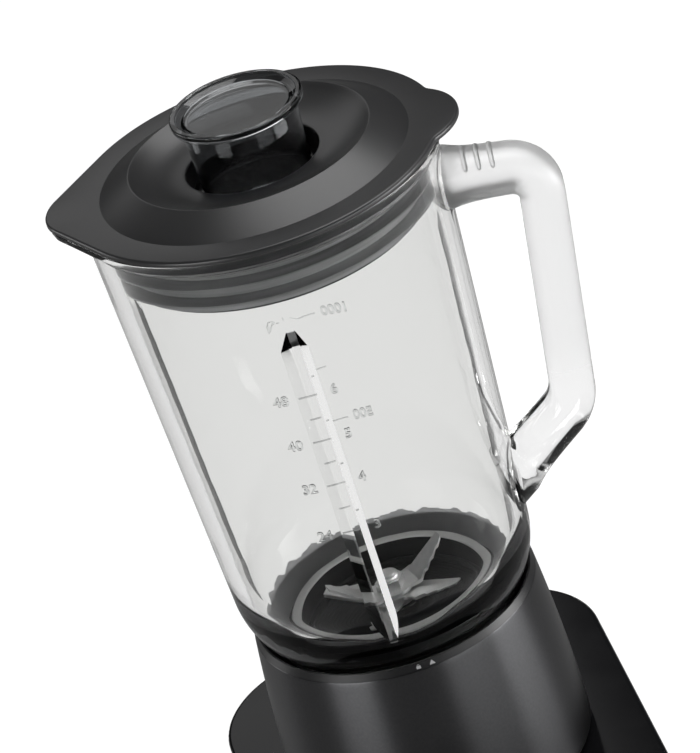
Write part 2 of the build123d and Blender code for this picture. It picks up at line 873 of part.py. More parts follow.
# Glass jug: wall, foot, neck, pouring lip, handle and three inner ribs in one piece of glass
foot_curve_z = glass_bottom + foot_curve_start
floor_curve_z = floor_top + floor_curve_start
wall_slope = (jug_rim_r - jug_base_r) / jug_height
handle_start = jug_base_r - glass_wall / 2
handle_upper = glass_bottom + handle_upper_z
handle_lower = glass_bottom + handle_lower_z
with BuildPart() as glass_jug:
    with BuildSketch(Plane.XZ):
        with BuildLine():
            Polyline(
                (foot_edge_r, glass_bottom),
                (neck_r, glass_bottom),
                (neck_r, neck_bottom),
                (0, neck_bottom),
                (0, rim),
                (jug_rim_r, rim),
                (wall_r(foot_curve_z), foot_curve_z),
            )
            TangentArc(
                (wall_r(foot_curve_z), foot_curve_z),
                (foot_edge_r, glass_bottom),
                tangent=(-wall_slope, -1),
            )
        make_face()
    revolve(axis=Axis.Z)
    with BuildSketch(jug_top_plane.offset(rim - rim_lip_height)):
        Circle(rim_lip_r)
        with Locations((spout_tip_r - spout_reach, 0)):
            Circle(spout_tip_r)
        make_hull()
    extrude(amount=rim_lip_height)
    with BuildLine(jug_side_plane) as handle_path:
        FilletPolyline(
            (handle_start, handle_upper + (handle_upper_reach - handle_start) * handle_upper_drop
             / handle_upper_stand),
            (handle_upper_reach, handle_upper),
            (handle_lower_reach, handle_lower),
            (handle_start, handle_lower - (handle_lower_reach - handle_start) * handle_lower_drop
             / (handle_lower_reach - handle_start + handle_thick / 2)),
            radius=(handle_upper_bend, handle_lower_bend),
        )
    with BuildSketch(Plane(handle_path.line @ 0, x_dir=jug_side_plane.z_dir, z_dir=handle_path.line % 0)):
        RectangleRounded(handle_wide, handle_thick, handle_edge)
    sweep(path=handle_path.line)
    grip_slope = handle_upper_drop / handle_upper_stand
    for bar_stand in grip_bar_stands:
        bar_x = jug_rim_r + bar_stand
        bar_z = handle_upper + (handle_upper_reach - bar_x) * grip_slope + handle_thick / 2
        with BuildSketch(jug_side_plane):
            with Locations((bar_x, bar_z)):
                Circle(grip_bar_r)
        extrude(amount=handle_wide / 2 - handle_edge, both=True)
    with BuildSketch(Plane.XZ):
        with BuildLine():
            Polyline(
                (inner_r(floor_curve_z), floor_curve_z),
                (inner_r(rim), rim),
                (0, rim),
                (0, neck_bottom),
                (neck_bore_r, neck_bottom),
                (neck_bore_r, floor_top),
                (floor_edge_r, floor_top),
            )
            TangentArc(
                (inner_r(floor_curve_z), floor_curve_z),
                (floor_edge_r, floor_top),
                tangent=(-wall_slope, -1),
            )
        make_face()
    revolve(axis=Axis.Z, mode=Mode.SUBTRACT)
    with BuildSketch(jug_top_plane.offset(rim)):
        Circle(inner_r(rim) - glass_wall)
        with Locations((spout_tip_r - spout_reach, 0)):
            Circle(spout_tip_r - spout_wall)
        make_hull()
    extrude(amount=-spout_depth, mode=Mode.SUBTRACT)
    for rib_angle in rib_angles:
        for level, size in (
            (rib_low, 0.0),
            (rib_low + rib_point, 1.0),
            (rib_high - rib_point, 1.0),
            (rib_high, 0.0),
        ):
            level_z = glass_bottom + level
            face_r = inner_r(level_z)
            half = rib_crest / 2 + (rib_width - rib_crest) / 2 * size
            with BuildSketch(Plane.XY.offset(level_z).rotated((0, 0, jug_angle + rib_angle))):
                Polygon(
                    (face_r + rib_root, -half),
                    (face_r + rib_root, half),
                    (face_r, half),
                    (face_r - rib_depth * size - shaft_fit, rib_crest / 2),
                    (face_r - rib_depth * size - shaft_fit, -rib_crest / 2),
                    (face_r, -half),
                    align=None,
                )
        loft(ruled=True)
glass_jug.part.label = "glass_jug"
export_step(glass_jug.part, "parts/glass_jug.step")

# Blade shaft with its driven coupling
lower_blade_z = hub_top + lift_gap + first_spacer_height
middle_blade_z = lower_blade_z + blade_thickness + spacer_height
upper_blade_z = middle_blade_z + blade_thickness + spacer_height
nut_bottom = upper_blade_z + blade_thickness
with BuildPart() as blade_shaft:
    with BuildSketch(Plane.XY.offset(driven_disc_bottom)):
        Circle(blade_shaft_r)
    extrude(amount=nut_bottom + nut_height - driven_disc_bottom)
blade_shaft.part.label = "blade_shaft"
export_step(blade_shaft.part, "parts/blade_shaft.step")

with BuildPart() as driven_coupling:
    with BuildSketch(Plane.XY.offset(driven_disc_bottom)):
        Circle(coupling_r)
        Circle(blade_shaft_r + shaft_fit, mode=Mode.SUBTRACT)
    extrude(amount=coupling_disc)
    with BuildSketch(Plane.XY.offset(driven_disc_bottom)):
        for dog_angle in (0, 180):
            ring_sector(dog_inner_r, dog_outer_r, dog_angle + dog_width + dog_play, dog_width)
    extrude(amount=-dog_height)
driven_coupling.part.label = "driven_coupling"
export_step(driven_coupling.part, "parts/driven_coupling.step")

# Three two-armed blades, one bent down, one nearly flat and one bent up
with BuildPart() as lower_blade:
    add_blade(lower_blade_z, lower_turn, lower_bend, lower_reach)
lower_blade.part.label = "lower_blade"
export_step(lower_blade.part, "parts/lower_blade.step")

with BuildPart() as middle_blade:
    add_blade(middle_blade_z, middle_turn, middle_bend, middle_reach)
middle_blade.part.label = "middle_blade"
export_step(middle_blade.part, "parts/middle_blade.step")

with BuildPart() as upper_blade:
    add_blade(upper_blade_z, upper_turn, upper_bend, upper_reach)
upper_blade.part.label = "upper_blade"
export_step(upper_blade.part, "parts/upper_blade.step")

with BuildPart() as blade_spacers:
    for spacer_z, height in (
        (lower_blade_z - first_spacer_height, first_spacer_height),
        (lower_blade_z + blade_thickness, spacer_height),
        (middle_blade_z + blade_thickness, spacer_height),
    ):
        with BuildSketch(Plane.XY.offset(spacer_z)):
            Circle(spacer_r)
            Circle(blade_shaft_r + shaft_fit, mode=Mode.SUBTRACT)
        extrude(amount=height)
blade_spacers.part.label = "blade_spacers"
export_step(blade_spacers.part, "parts/blade_spacers.step")

# Domed nut that holds the blades
with BuildPart() as blade_nut:
    with BuildSketch(Plane.XY.offset(nut_bottom)):
        RegularPolygon(nut_r, 6)
    extrude(amount=nut_height)
    with BuildSketch(Plane.XY.offset(nut_bottom + nut_height)):
        Circle(nut_dome_r)
    extrude(amount=nut_dome_height)
    fillet(blade_nut.faces().sort_by(Axis.Z)[-1].edges(), nut_dome_round)
    with BuildSketch(Plane.XY.offset(nut_bottom)):
        Circle(blade_shaft_r + shaft_fit)
    extrude(amount=nut_height, mode=Mode.SUBTRACT)
blade_nut.part.label = "blade_nut"
export_step(blade_nut.part, "parts/blade_nut.step")

# Lid: flange with a spout lobe and a thumb tab, raised cone, filler hole with sleeve, and plug skirt
skirt_in_r = lid_skirt_r - lid_wall
tab_x = lid_tab_reach - lid_tab_r
with BuildPart() as lid:
    with BuildSketch(jug_top_plane.offset(rim)) as lid_plan:
        Circle(lid_r)
        with Locations((lid_spout_tip_r - lid_spout_reach, 0)):
            Circle(lid_spout_tip_r)
        make_hull()
        with Locations((tab_x, 0)):
            Circle(lid_tab_r)
        fillet(
            lid_plan.vertices().filter_by(lambda v: v.X > tab_x and abs(v.Y) > lid_tab_r / 2),
            lid_tab_blend,
        )
        Circle(skirt_in_r, mode=Mode.SUBTRACT)
    extrude(amount=lid_flange)
    with BuildSketch(Plane.XZ) as lid_section:
        with BuildLine():
            Polyline(
                (skirt_in_r, plug_bottom),
                (lid_skirt_r, plug_bottom),
                (lid_skirt_r, rim),
                (lid_cone_r, rim),
                (lid_cone_r, flange_top),
                (lid_ridge_r, ridge_top),
            )
            ThreePointArc(
                (lid_ridge_r, ridge_top),
                (lid_bowl_r, flange_top + lid_bowl_rise),
                (lid_hole_r, hole_top),
            )
            Polyline(
                (lid_hole_r, hole_top),
                (lid_hole_r, ledge_top),
                (sleeve_bore_r, ledge_top),
                (sleeve_bore_r, sleeve_bottom),
                (sleeve_bore_r + lid_wall, sleeve_bottom),
                (sleeve_bore_r + lid_wall, ledge_top - lid_wall),
                (lid_hole_r + lid_wall, ledge_top - lid_wall),
                (lid_hole_r + lid_wall, hole_top - lid_wall),
            )
            ThreePointArc(
                (lid_hole_r + lid_wall, hole_top - lid_wall),
                (lid_bowl_r, flange_top + lid_bowl_rise - lid_wall),
                (lid_ridge_r - lid_wall / 4, ridge_top - lid_wall),
            )
            Polyline(
                (lid_ridge_r - lid_wall / 4, ridge_top - lid_wall),
                (skirt_in_r, rim + lid_wall),
                (skirt_in_r, plug_bottom),
            )
        make_face()
        fillet(lid_section.vertices().sort_by_distance((lid_ridge_r, ridge_top))[0], lid_ridge_round)
        fillet(lid_section.vertices().sort_by_distance((lid_hole_r, hole_top))[0], lid_hole_round)
    revolve(axis=Axis.Z)
lid.part.label = "lid"
export_step(lid.part, "parts/lid.step")

# Lid seal: a rubber sleeve round the plug, with lips that reach the glass
seal_bottom = plug_bottom + seal_low
seal_top = rim - seal_high
with BuildPart() as lid_seal:
    with BuildSketch(Plane.XZ):
        with Locations((lid_skirt_r + shaft_fit, seal_bottom)):
            Rectangle(seal_wall, seal_top - seal_bottom, align=(Align.MIN, Align.MIN))
        for lip in seal_lips:
            lip_z = seal_bottom + lip
            Polygon(
                (lid_skirt_r + seal_wall / 2, lip_z - seal_lip_height / 2),
                (inner_r(lip_z) - slide_gap, lip_z),
                (inner_r(lip_z) - slide_gap, lip_z + seal_wall / 2),
                (lid_skirt_r + seal_wall / 2, lip_z + seal_lip_height / 2),
                align=None,
            )
    revolve(axis=Axis.Z)
lid_seal.part.label = "lid_seal"
export_step(lid_seal.part, "parts/lid_seal.step")

# Measuring cup: closed at the top and open below, hung in the sleeve by its bead
cup_disc = cup_top - cup_sink
cup_rim_bottom = cup_top - cup_rim_height
cup_slope = (cup_top_r - cup_base_r) / (cup_rim_bottom - cup_bottom)
bead_r = cup_base_r + cup_slope * (ledge_top - cup_bottom)
with BuildPart() as measuring_cup:
    with BuildSketch(Plane.XZ):
        with BuildLine():
            Polyline(
                (cup_base_r - cup_wall, cup_bottom),
                (cup_base_r, cup_bottom),
                (bead_r, ledge_top),
                (cup_bead_r, ledge_top),
                (cup_bead_r, ledge_top + cup_bead_height),
                (bead_r + cup_slope * cup_bead_height, ledge_top + cup_bead_height),
                (cup_top_r, cup_rim_bottom),
                (cup_rim_r, cup_rim_bottom + cup_rim_slope),
                (cup_rim_r, cup_top),
                (cup_rim_r - cup_ring_wall, cup_top),
                (cup_rim_r - cup_ring_wall, cup_top - cup_step),
                (cup_top_r - cup_wall, cup_top - 2 * cup_step),
                (cup_top_r - cup_wall, cup_disc),
                (0, cup_disc),
                (0, cup_disc - cup_wall),
                (cup_top_r - cup_wall, cup_disc - cup_wall),
                close=True,
            )
        make_face()
    revolve(axis=Axis.Z)
measuring_cup.part.label = "measuring_cup"
export_step(measuring_cup.part, "parts/measuring_cup.step")

# Motor shaft, from the fan up into the drive coupling
shaft_top = dog_bottom
with BuildPart() as motor_shaft:
    with BuildSketch(Plane.XY.offset(fan_bottom)):
        Circle(motor_shaft_r)
    extrude(amount=shaft_top - fan_bottom)
motor_shaft.part.label = "motor_shaft"
export_step(motor_shaft.part, "parts/motor_shaft.step")

# Drive coupling with two dogs, on a hub that comes down to the upper bearing
coupling_hub_r = bearing_shoulder_r
coupling_hub_bottom = bracket_top + bearing_cup_over + lift_gap
with BuildPart() as drive_coupling:
    with BuildSketch(Plane.XY.offset(coupling_bottom)):
        Circle(coupling_r)
    extrude(amount=coupling_disc)
    with BuildSketch(Plane.XY.offset(coupling_hub_bottom)):
        Circle(coupling_hub_r)
    extrude(amount=coupling_bottom - coupling_hub_bottom)
    with BuildSketch(Plane.XY.offset(dog_bottom)):
        for dog_angle in (0, 180):
            ring_sector(dog_inner_r, dog_outer_r, dog_angle, dog_width)
    extrude(amount=dog_height)
    with BuildSketch(Plane.XY.offset(coupling_hub_bottom)):
        Circle(motor_shaft_r + shaft_fit)
    extrude(amount=dog_bottom - coupling_hub_bottom, mode=Mode.SUBTRACT)
drive_coupling.part.label = "drive_coupling"
export_step(drive_coupling.part, "parts/drive_coupling.step")

# Ball bearings, each drawn as one ring
with BuildPart() as upper_bearing:
    with BuildSketch(Plane.XY.offset(upper_bearing_bottom)):
        Circle(bearing_r)
        Circle(motor_shaft_r + shaft_fit, mode=Mode.SUBTRACT)
    extrude(amount=bearing_width)
upper_bearing.part.label = "upper_bearing"
export_step(upper_bearing.part, "parts/upper_bearing.step")

with BuildPart() as lower_bearing:
    with BuildSketch(Plane.XY.offset(lower_bearing_bottom)):
        Circle(bearing_r)
        Circle(motor_shaft_r + shaft_fit, mode=Mode.SUBTRACT)
    extrude(amount=bearing_width)
lower_bearing.part.label = "lower_bearing"
export_step(lower_bearing.part, "parts/lower_bearing.step")

# Upper bracket: bearing cup, four arms to the grommets and two posts on the stator
cup_outer_r = bearing_r + bearing_cup_wall
with BuildPart() as upper_bracket:
    with BuildSketch(Plane.XY.offset(bracket_under)):
        Circle(bracket_core_r)
        for arm_angle, arm_reach in ((45, mount_circle_r), (90, motor_bolt_circle_r), (135, mount_circle_r)):
            Rectangle(2 * arm_reach, bracket_arm, rotation=arm_angle)
            with PolarLocations(arm_reach, 2, arm_angle):
                Circle(bracket_boss_r)
    extrude(amount=bracket_plate)
    with BuildSketch(Plane.XY.offset(upper_bearing_bottom - bearing_cup_over)):
        Circle(cup_outer_r)
    extrude(amount=bearing_width + bearing_cup_over)
    with BuildSketch(Plane.XY.offset(stator_top)):
        with PolarLocations(motor_bolt_circle_r, 2, 90):
            Circle(post_r)
    extrude(amount=upper_post)
    with BuildSketch(Plane.XY.offset(upper_bearing_bottom)):
        Circle(bearing_r + shaft_fit)
    extrude(amount=bearing_width, mode=Mode.SUBTRACT)
    with BuildSketch(Plane.XY.offset(stator_top)):
        Circle(bearing_shoulder_r)
        with PolarLocations(motor_bolt_circle_r, 2, 90):
            Circle(motor_bolt_r + shaft_fit)
        with PolarLocations(mount_circle_r, 4, 45):
            Circle(mount_screw_r + shaft_fit)
    extrude(amount=bracket_top - stator_top, mode=Mode.SUBTRACT)
upper_bracket.part.label = "upper_bracket"
export_step(upper_bracket.part, "parts/upper_bracket.step")

# Lower bracket: bearing cup, posts up to the stator and seats for the brush holders
brush_start = commutator_r + brush_gap
brush_end = brush_start + brush_length
holder_end = brush_end + brush_spring_length
holder_reach = holder_end + brush_holder_wall
with BuildPart() as lower_bracket:
    with BuildSketch(Plane.XY.offset(lower_bracket_under)):
        Circle(bracket_core_r)
        Rectangle(2 * holder_reach, brush_wide + 2 * brush_holder_wall)
        Rectangle(bracket_arm, 2 * motor_bolt_circle_r)
        with PolarLocations(motor_bolt_circle_r, 2, 90):
            Circle(bracket_boss_r)
    extrude(amount=bracket_plate)
    with BuildSketch(Plane.XY.offset(lower_bearing_bottom)):
        Circle(cup_outer_r)
    extrude(amount=lower_bracket_top - lower_bearing_bottom)
    with BuildSketch(Plane.XY.offset(lower_bracket_top)):
        with PolarLocations(motor_bolt_circle_r, 2, 90):
            Circle(post_r)
    extrude(amount=lower_post)
    with BuildSketch(Plane.XY.offset(lower_bearing_bottom)):
        Circle(bearing_r + shaft_fit)
    extrude(amount=bearing_width, mode=Mode.SUBTRACT)
    with BuildSketch(Plane.XY.offset(lower_bearing_top)):
        Circle(bearing_shoulder_r)
    extrude(amount=bearing_cup_over, mode=Mode.SUBTRACT)
    with BuildSketch(Plane.XY.offset(lower_bracket_under)):
        with PolarLocations(motor_bolt_circle_r, 2, 90):
            Circle(motor_bolt_r + shaft_fit)
    extrude(amount=stator_bottom - lower_bracket_under, mode=Mode.SUBTRACT)
lower_bracket.part.label = "lower_bracket"
export_step(lower_bracket.part, "parts/lower_bracket.step")

# Bolts through the brackets and the stator
with BuildPart() as motor_bolts:
    with BuildSketch(Plane.XY.offset(bracket_top)):
        with PolarLocations(motor_bolt_circle_r, 2, 90):
            Circle(motor_bolt_head_r)
    extrude(amount=motor_bolt_head)
    with BuildSketch(Plane.XY.offset(lower_bracket_under)):
        with PolarLocations(motor_bolt_circle_r, 2, 90):
            Circle(motor_bolt_r)
    extrude(amount=bracket_top - lower_bracket_under)
motor_bolts.part.label = "motor_bolts"
export_step(motor_bolts.part, "parts/motor_bolts.step")

# Rubber grommets between the motor and the collar, and the screws through them
with BuildPart() as motor_grommets:
    with BuildSketch(Plane.XY.offset(bracket_top)):
        with PolarLocations(mount_circle_r, 4, 45):
            Circle(grommet_r)
            Circle(mount_screw_r + shaft_fit, mode=Mode.SUBTRACT)
    extrude(amount=grommet_height)
motor_grommets.part.label = "motor_grommets"
export_step(motor_grommets.part, "parts/motor_grommets.step")

with BuildPart() as bracket_screws:
    with BuildSketch(Plane.XY.offset(bracket_under - mount_screw_head)):
        with PolarLocations(mount_circle_r, 4, 45):
            Circle(mount_screw_head_r)
    extrude(amount=mount_screw_head)
    with BuildSketch(Plane.XY.offset(bracket_under)):
        with PolarLocations(mount_circle_r, 4, 45):
            Circle(mount_screw_r)
    extrude(amount=bracket_plate + grommet_height + mount_screw_bite)
bracket_screws.part.label = "bracket_screws"
export_step(bracket_screws.part, "parts/bracket_screws.step")

# Stator: yoke with two poles and their shoes
shoe_r = stator_bore_r + pole_shoe
with BuildPart() as stator_core:
    with BuildSketch(Plane.XY.offset(stator_bottom)):
        Circle(stator_r)
        Circle(stator_yoke_r, mode=Mode.SUBTRACT)
        Rectangle(stator_yoke_r + stator_r, 2 * pole_half_width)
        Circle(shoe_r, mode=Mode.SUBTRACT)
        for pole_angle in (0, 180):
            ring_sector(stator_bore_r, shoe_r, pole_angle, pole_shoe_angle)
        with PolarLocations(motor_bolt_circle_r, 2, 90):
            Circle(motor_bolt_r + shaft_fit, mode=Mode.SUBTRACT)
    extrude(amount=stator_height)
stator_core.part.label = "stator_core"
export_step(stator_core.part, "parts/stator_core.step")

# Field windings: one coil round each pole
coil_start = sqrt(shoe_r ** 2 - (pole_half_width + coil_gap) ** 2) + coil_shoe_gap
coil_bore_wide = 2 * (pole_half_width + coil_gap)
coil_bore_tall = stator_height + 2 * coil_clear
with BuildPart() as field_windings:
    with BuildSketch(Plane.YZ.offset(coil_start)):
        with Locations((0, stator_middle)):
            RectangleRounded(coil_bore_wide + 2 * coil_wide, coil_bore_tall + 2 * coil_wide, coil_round)
            Rectangle(coil_bore_wide, coil_bore_tall, mode=Mode.SUBTRACT)
    extrude(amount=coil_thick)
    mirror(about=Plane.YZ)
field_windings.part.label = "field_windings"
export_step(field_windings.part, "parts/field_windings.step")

# Rotor: slotted core, winding through the slots, and commutator
slot_outer_r = rotor_r - rotor_land
slot_middle_r = slot_outer_r - rotor_slot_depth / 2
with BuildPart() as rotor_core:
    with BuildSketch(Plane.XY.offset(stator_bottom)):
        Circle(rotor_r)
        Circle(motor_shaft_r + shaft_fit, mode=Mode.SUBTRACT)
        with PolarLocations(slot_middle_r, rotor_slot_count):
            Rectangle(rotor_slot_depth, rotor_slot_width, mode=Mode.SUBTRACT)
        with PolarLocations(rotor_r, rotor_slot_count):
            Rectangle(3 * rotor_land, rotor_slot_mouth, mode=Mode.SUBTRACT)
    extrude(amount=stator_height)
rotor_core.part.label = "rotor_core"
export_step(rotor_core.part, "parts/rotor_core.step")

with BuildPart() as rotor_winding:
    with BuildSketch(Plane.XY.offset(stator_bottom)):
        with PolarLocations(slot_middle_r, rotor_slot_count):
            Rectangle(rotor_slot_depth - 2 * slot_liner, rotor_slot_width - 2 * slot_liner)
    extrude(amount=stator_height)
    for ring_z in (stator_bottom - winding_height, stator_top):
        with BuildSketch(Plane.XY.offset(ring_z)):
            Circle(slot_outer_r)
            Circle(winding_bore_r, mode=Mode.SUBTRACT)
        extrude(amount=winding_height)
rotor_winding.part.label = "rotor_winding"
export_step(rotor_winding.part, "parts/rotor_winding.step")

commutator_top = stator_bottom - winding_height
with BuildPart() as commutator:
    with BuildSketch(Plane.XY.offset(commutator_top - commutator_length)):
        Circle(commutator_r)
        with PolarLocations(commutator_r, commutator_bar_count):
            Rectangle(2 * commutator_slit_depth, commutator_slit, mode=Mode.SUBTRACT)
    extrude(amount=commutator_length)
    with BuildSketch(Plane.XY.offset(commutator_top - commutator_riser)):
        Circle(riser_r)
    extrude(amount=commutator_riser)
    with BuildSketch(Plane.XY.offset(commutator_top)):
        Circle(motor_shaft_r + shaft_fit)
    extrude(amount=-commutator_length, mode=Mode.SUBTRACT)
commutator.part.label = "commutator"
export_step(commutator.part, "parts/commutator.step")

# Carbon brushes in their holders, pressed by folded strip springs
brush_bottom = lower_bracket_top + brush_lift
brush_middle = brush_bottom + brush_tall / 2
with BuildPart() as brush_holders:
    with BuildSketch(Plane.XY.offset(lower_bracket_top)):
        with Locations((brush_holder_start, 0)):
            Rectangle(
                holder_reach - brush_holder_start,
                brush_wide + 2 * brush_holder_wall,
                align=(Align.MIN, Align.CENTER),
            )
    extrude(amount=brush_lift + brush_tall + brush_fit + brush_holder_wall / 2)
    with BuildSketch(Plane.YZ.offset(brush_holder_start)):
        with Locations((0, brush_middle)):
            Rectangle(brush_wide + 2 * brush_fit, brush_tall + 2 * brush_fit)
    extrude(amount=holder_end - brush_holder_start, mode=Mode.SUBTRACT)
    mirror(about=Plane.YZ)
brush_holders.part.label = "brush_holders"
export_step(brush_holders.part, "parts/brush_holders.step")

with BuildPart() as carbon_brushes:
    with BuildSketch(Plane.YZ.offset(brush_start)):
        with Locations((0, brush_middle)):
            Rectangle(brush_wide, brush_tall)
    extrude(amount=brush_length)
    mirror(about=Plane.YZ)
carbon_brushes.part.label = "carbon_brushes"
export_step(carbon_brushes.part, "parts/carbon_brushes.step")

zig_step = (brush_spring_length - 2 * brush_spring_strip) / brush_zig_count
zig_half = brush_wide / 2 - 3 * brush_spring_strip
zig_points = []
for zig in range(brush_zig_count + 1):
    zig_side = zig_half if zig % 2 else -zig_half
    zig_points.append((brush_end + brush_spring_strip + zig * zig_step, zig_side))
with BuildPart() as brush_springs:
    with BuildSketch(Plane.XY.offset(brush_bottom)):
        with BuildLine():
            Polyline(*zig_points)
        trace(line_width=brush_spring_strip)
    extrude(amount=brush_tall)
    mirror(about=Plane.YZ)
brush_springs.part.label = "brush_springs"
export_step(brush_springs.part, "parts/brush_springs.step")

# Cooling fan at the shaft's lower end
with BuildPart() as cooling_fan:
    with BuildSketch(Plane.XY.offset(fan_top - fan_plate)):
        Circle(fan_r)
    extrude(amount=fan_plate)
    with BuildSketch(Plane.XY.offset(fan_bottom)):
        Circle(fan_hub_r)
        with PolarLocations((fan_r + fan_hub_r) / 2, fan_blade_count):
            Rectangle(fan_r - fan_hub_r - 2 * fan_blade, fan_blade, rotation=fan_blade_lean)
    extrude(amount=fan_blade_height)
    with BuildSketch(Plane.XY.offset(fan_bottom)):
        Circle(motor_shaft_r + shaft_fit)
    extrude(amount=fan_top - fan_bottom, mode=Mode.SUBTRACT)
cooling_fan.part.label = "cooling_fan"
export_step(cooling_fan.part, "parts/cooling_fan.step")

# Selector switch under the plinth's roof, its shaft and the knob
selector_bottom = roof_under - selector_height
shaft_bottom = roof_under - selector_socket
knob_bottom = plinth_top + slide_gap
knob_top = knob_bottom + knob_height
with BuildPart() as selector_switch:
    with BuildSketch(Plane.XY.offset(selector_bottom)):
        with Locations((0, knob_y)):
            Rectangle(selector_size, selector_size)
    extrude(amount=selector_height)
    with BuildSketch(Plane.XY.offset(roof_under)):
        with Locations((0, knob_y)):
            Circle(selector_shaft_r + shaft_fit)
    extrude(amount=-selector_socket, mode=Mode.SUBTRACT)
selector_switch.part.label = "selector_switch"
export_step(selector_switch.part, "parts/selector_switch.step")

with BuildPart() as selector_shaft:
    with BuildSketch(Plane.XY.offset(shaft_bottom)):
        with Locations((0, knob_y)):
            Circle(selector_shaft_r)
    extrude(amount=knob_bottom + knob_bore_depth - shaft_bottom)
selector_shaft.part.label = "selector_shaft"
export_step(selector_shaft.part, "parts/selector_shaft.step")

with BuildPart() as knob:
    with BuildSketch(Plane.XY.offset(knob_bottom)):
        with Locations((0, knob_y)):
            Circle(knob_r)
            with PolarLocations(knob_r, knob_flute_count):
                Circle(knob_flute_r, mode=Mode.SUBTRACT)
    extrude(amount=knob_height, taper=degrees(atan(knob_taper / knob_height)))
    with BuildSketch(Plane.XY.offset(knob_top)):
        with Locations((0, knob_y + knob_pointer_length / 2)):
            SlotOverall(knob_pointer_length, knob_pointer_width, rotation=90)
    extrude(amount=knob_pointer_rise)
    with BuildSketch(Plane.XY.offset(knob_bottom)):
        with Locations((0, knob_y)):
            Circle(selector_shaft_r + shaft_fit)
    extrude(amount=knob_bore_depth, mode=Mode.SUBTRACT)
knob.part.label = "knob"
export_step(knob.part, "parts/knob.step")

# Control board on the cover's posts, with its larger components
with BuildPart() as control_board:
    with BuildSketch(Plane.XY.offset(board_bottom)):
        with Locations((0, board_y)):
            Rectangle(board_width, board_depth)
            with GridLocations(board_hole_x, board_hole_y, 2, 2):
                Circle(board_pin_r + shaft_fit, mode=Mode.SUBTRACT)
    extrude(amount=board_thickness)
control_board.part.label = "control_board"
export_step(control_board.part, "parts/control_board.step")

with BuildPart() as board_components:
    for place_x, (wide, deep, tall) in (
        (-board_width / 4, capacitor_size),
        (0, header_size),
        (board_width / 4, heat_sink_size),
    ):
        with BuildSketch(Plane.XY.offset(board_top)):
            with Locations((place_x, board_y + board_depth / 6)):
                Rectangle(wide, deep)
        extrude(amount=tall)
board_components.part.label = "board_components"
export_step(board_components.part, "parts/board_components.step")

# Cord inlet: a flanged bush in the back wall, and the terminal block behind it
cord_axis_plane = Plane(origin=(cord_x, plinth_depth / 2, cord_z), x_dir=(1, 0, 0), z_dir=(0, 1, 0))
with BuildPart() as cord_bush:
    with BuildSketch(cord_axis_plane):
        Circle(cord_flange_r)
    extrude(amount=cord_flange)
    with BuildSketch(cord_axis_plane):
        Circle(cord_bush_r)
    extrude(amount=-plinth_wall)
    with BuildSketch(cord_axis_plane.offset(-plinth_wall)):
        Circle(cord_inner_r)
    extrude(amount=-cord_inner)
    with BuildSketch(cord_axis_plane.offset(cord_flange)):
        Circle(cord_bore_r)
    extrude(amount=-cord_flange - plinth_wall - cord_inner, mode=Mode.SUBTRACT)
cord_bush.part.label = "cord_bush"
export_step(cord_bush.part, "parts/cord_bush.step")

terminal_wide, terminal_deep, terminal_tall = terminal_size
with BuildPart() as terminal_block:
    with BuildSketch(Plane.XY.offset(cover_top)):
        with Locations((cord_x, plinth_depth / 2 - terminal_inset)):
            Rectangle(terminal_wide, terminal_deep)
    extrude(amount=terminal_tall)
    with BuildSketch(Plane.XZ.offset(-plinth_depth / 2 + terminal_inset - terminal_deep / 2)):
        with Locations((cord_x, cover_top + terminal_tall / 2)):
            with GridLocations(terminal_wide / 2, 1, 2, 1):
                Circle(terminal_hole_r)
    extrude(amount=terminal_deep / 2, mode=Mode.SUBTRACT)
terminal_block.part.label = "terminal_block"
export_step(terminal_block.part, "parts/terminal_block.step")
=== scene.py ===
import json
import math

import bmesh
import bpy
import numpy as np
from mathutils import Matrix, Vector


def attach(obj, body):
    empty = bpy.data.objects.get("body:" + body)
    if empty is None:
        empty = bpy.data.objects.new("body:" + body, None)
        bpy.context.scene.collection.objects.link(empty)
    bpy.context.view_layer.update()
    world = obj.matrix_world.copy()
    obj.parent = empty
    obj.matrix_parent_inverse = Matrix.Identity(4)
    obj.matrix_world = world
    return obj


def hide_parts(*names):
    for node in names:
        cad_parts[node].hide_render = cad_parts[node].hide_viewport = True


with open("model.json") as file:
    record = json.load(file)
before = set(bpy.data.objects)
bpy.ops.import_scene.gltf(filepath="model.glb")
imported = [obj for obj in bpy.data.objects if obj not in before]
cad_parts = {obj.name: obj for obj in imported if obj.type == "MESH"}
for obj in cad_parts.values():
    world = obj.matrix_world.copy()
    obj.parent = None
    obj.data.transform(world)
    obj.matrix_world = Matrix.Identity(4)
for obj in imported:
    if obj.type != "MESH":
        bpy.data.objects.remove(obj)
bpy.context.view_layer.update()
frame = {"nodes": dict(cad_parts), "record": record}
nodes = frame["nodes"]
mm = 0.001
mergeDistance = 2e-6  # points of a grid nearer than this are one point
print("frame loaded:", len(nodes), "nodes")


# shared surface tools

def roundedProfile(corners, steps=5):
    # open polyline in (r, z); a corner with a radius becomes an arc touching both of its sides
    pts = np.array([c[:2] for c in corners], float)
    out = [pts[:1]]
    for i in range(1, len(pts) - 1):
        radius = corners[i][2] if len(corners[i]) > 2 else 0.0
        if radius <= 0:
            out.append(pts[i:i + 1])
            continue
        toPrev, toNext = pts[i - 1] - pts[i], pts[i + 1] - pts[i]
        toPrev, toNext = toPrev / np.linalg.norm(toPrev), toNext / np.linalg.norm(toNext)
        half = math.acos(np.clip(toPrev @ toNext, -1, 1)) / 2
        centre = pts[i] + (toPrev + toNext) / np.linalg.norm(toPrev + toNext) * radius / math.sin(half)
        first, last = pts[i] + toPrev * radius / math.tan(half), pts[i] + toNext * radius / math.tan(half)
        sweep = math.pi - 2 * half
        s = np.linspace(0, 1, steps + 1)[:, None]
        out.append(centre + (np.sin((1 - s) * sweep) * (first - centre) + np.sin(s * sweep) * (last - centre))
                   / math.sin(sweep))
    out.append(pts[-1:])
    return np.vstack(out)


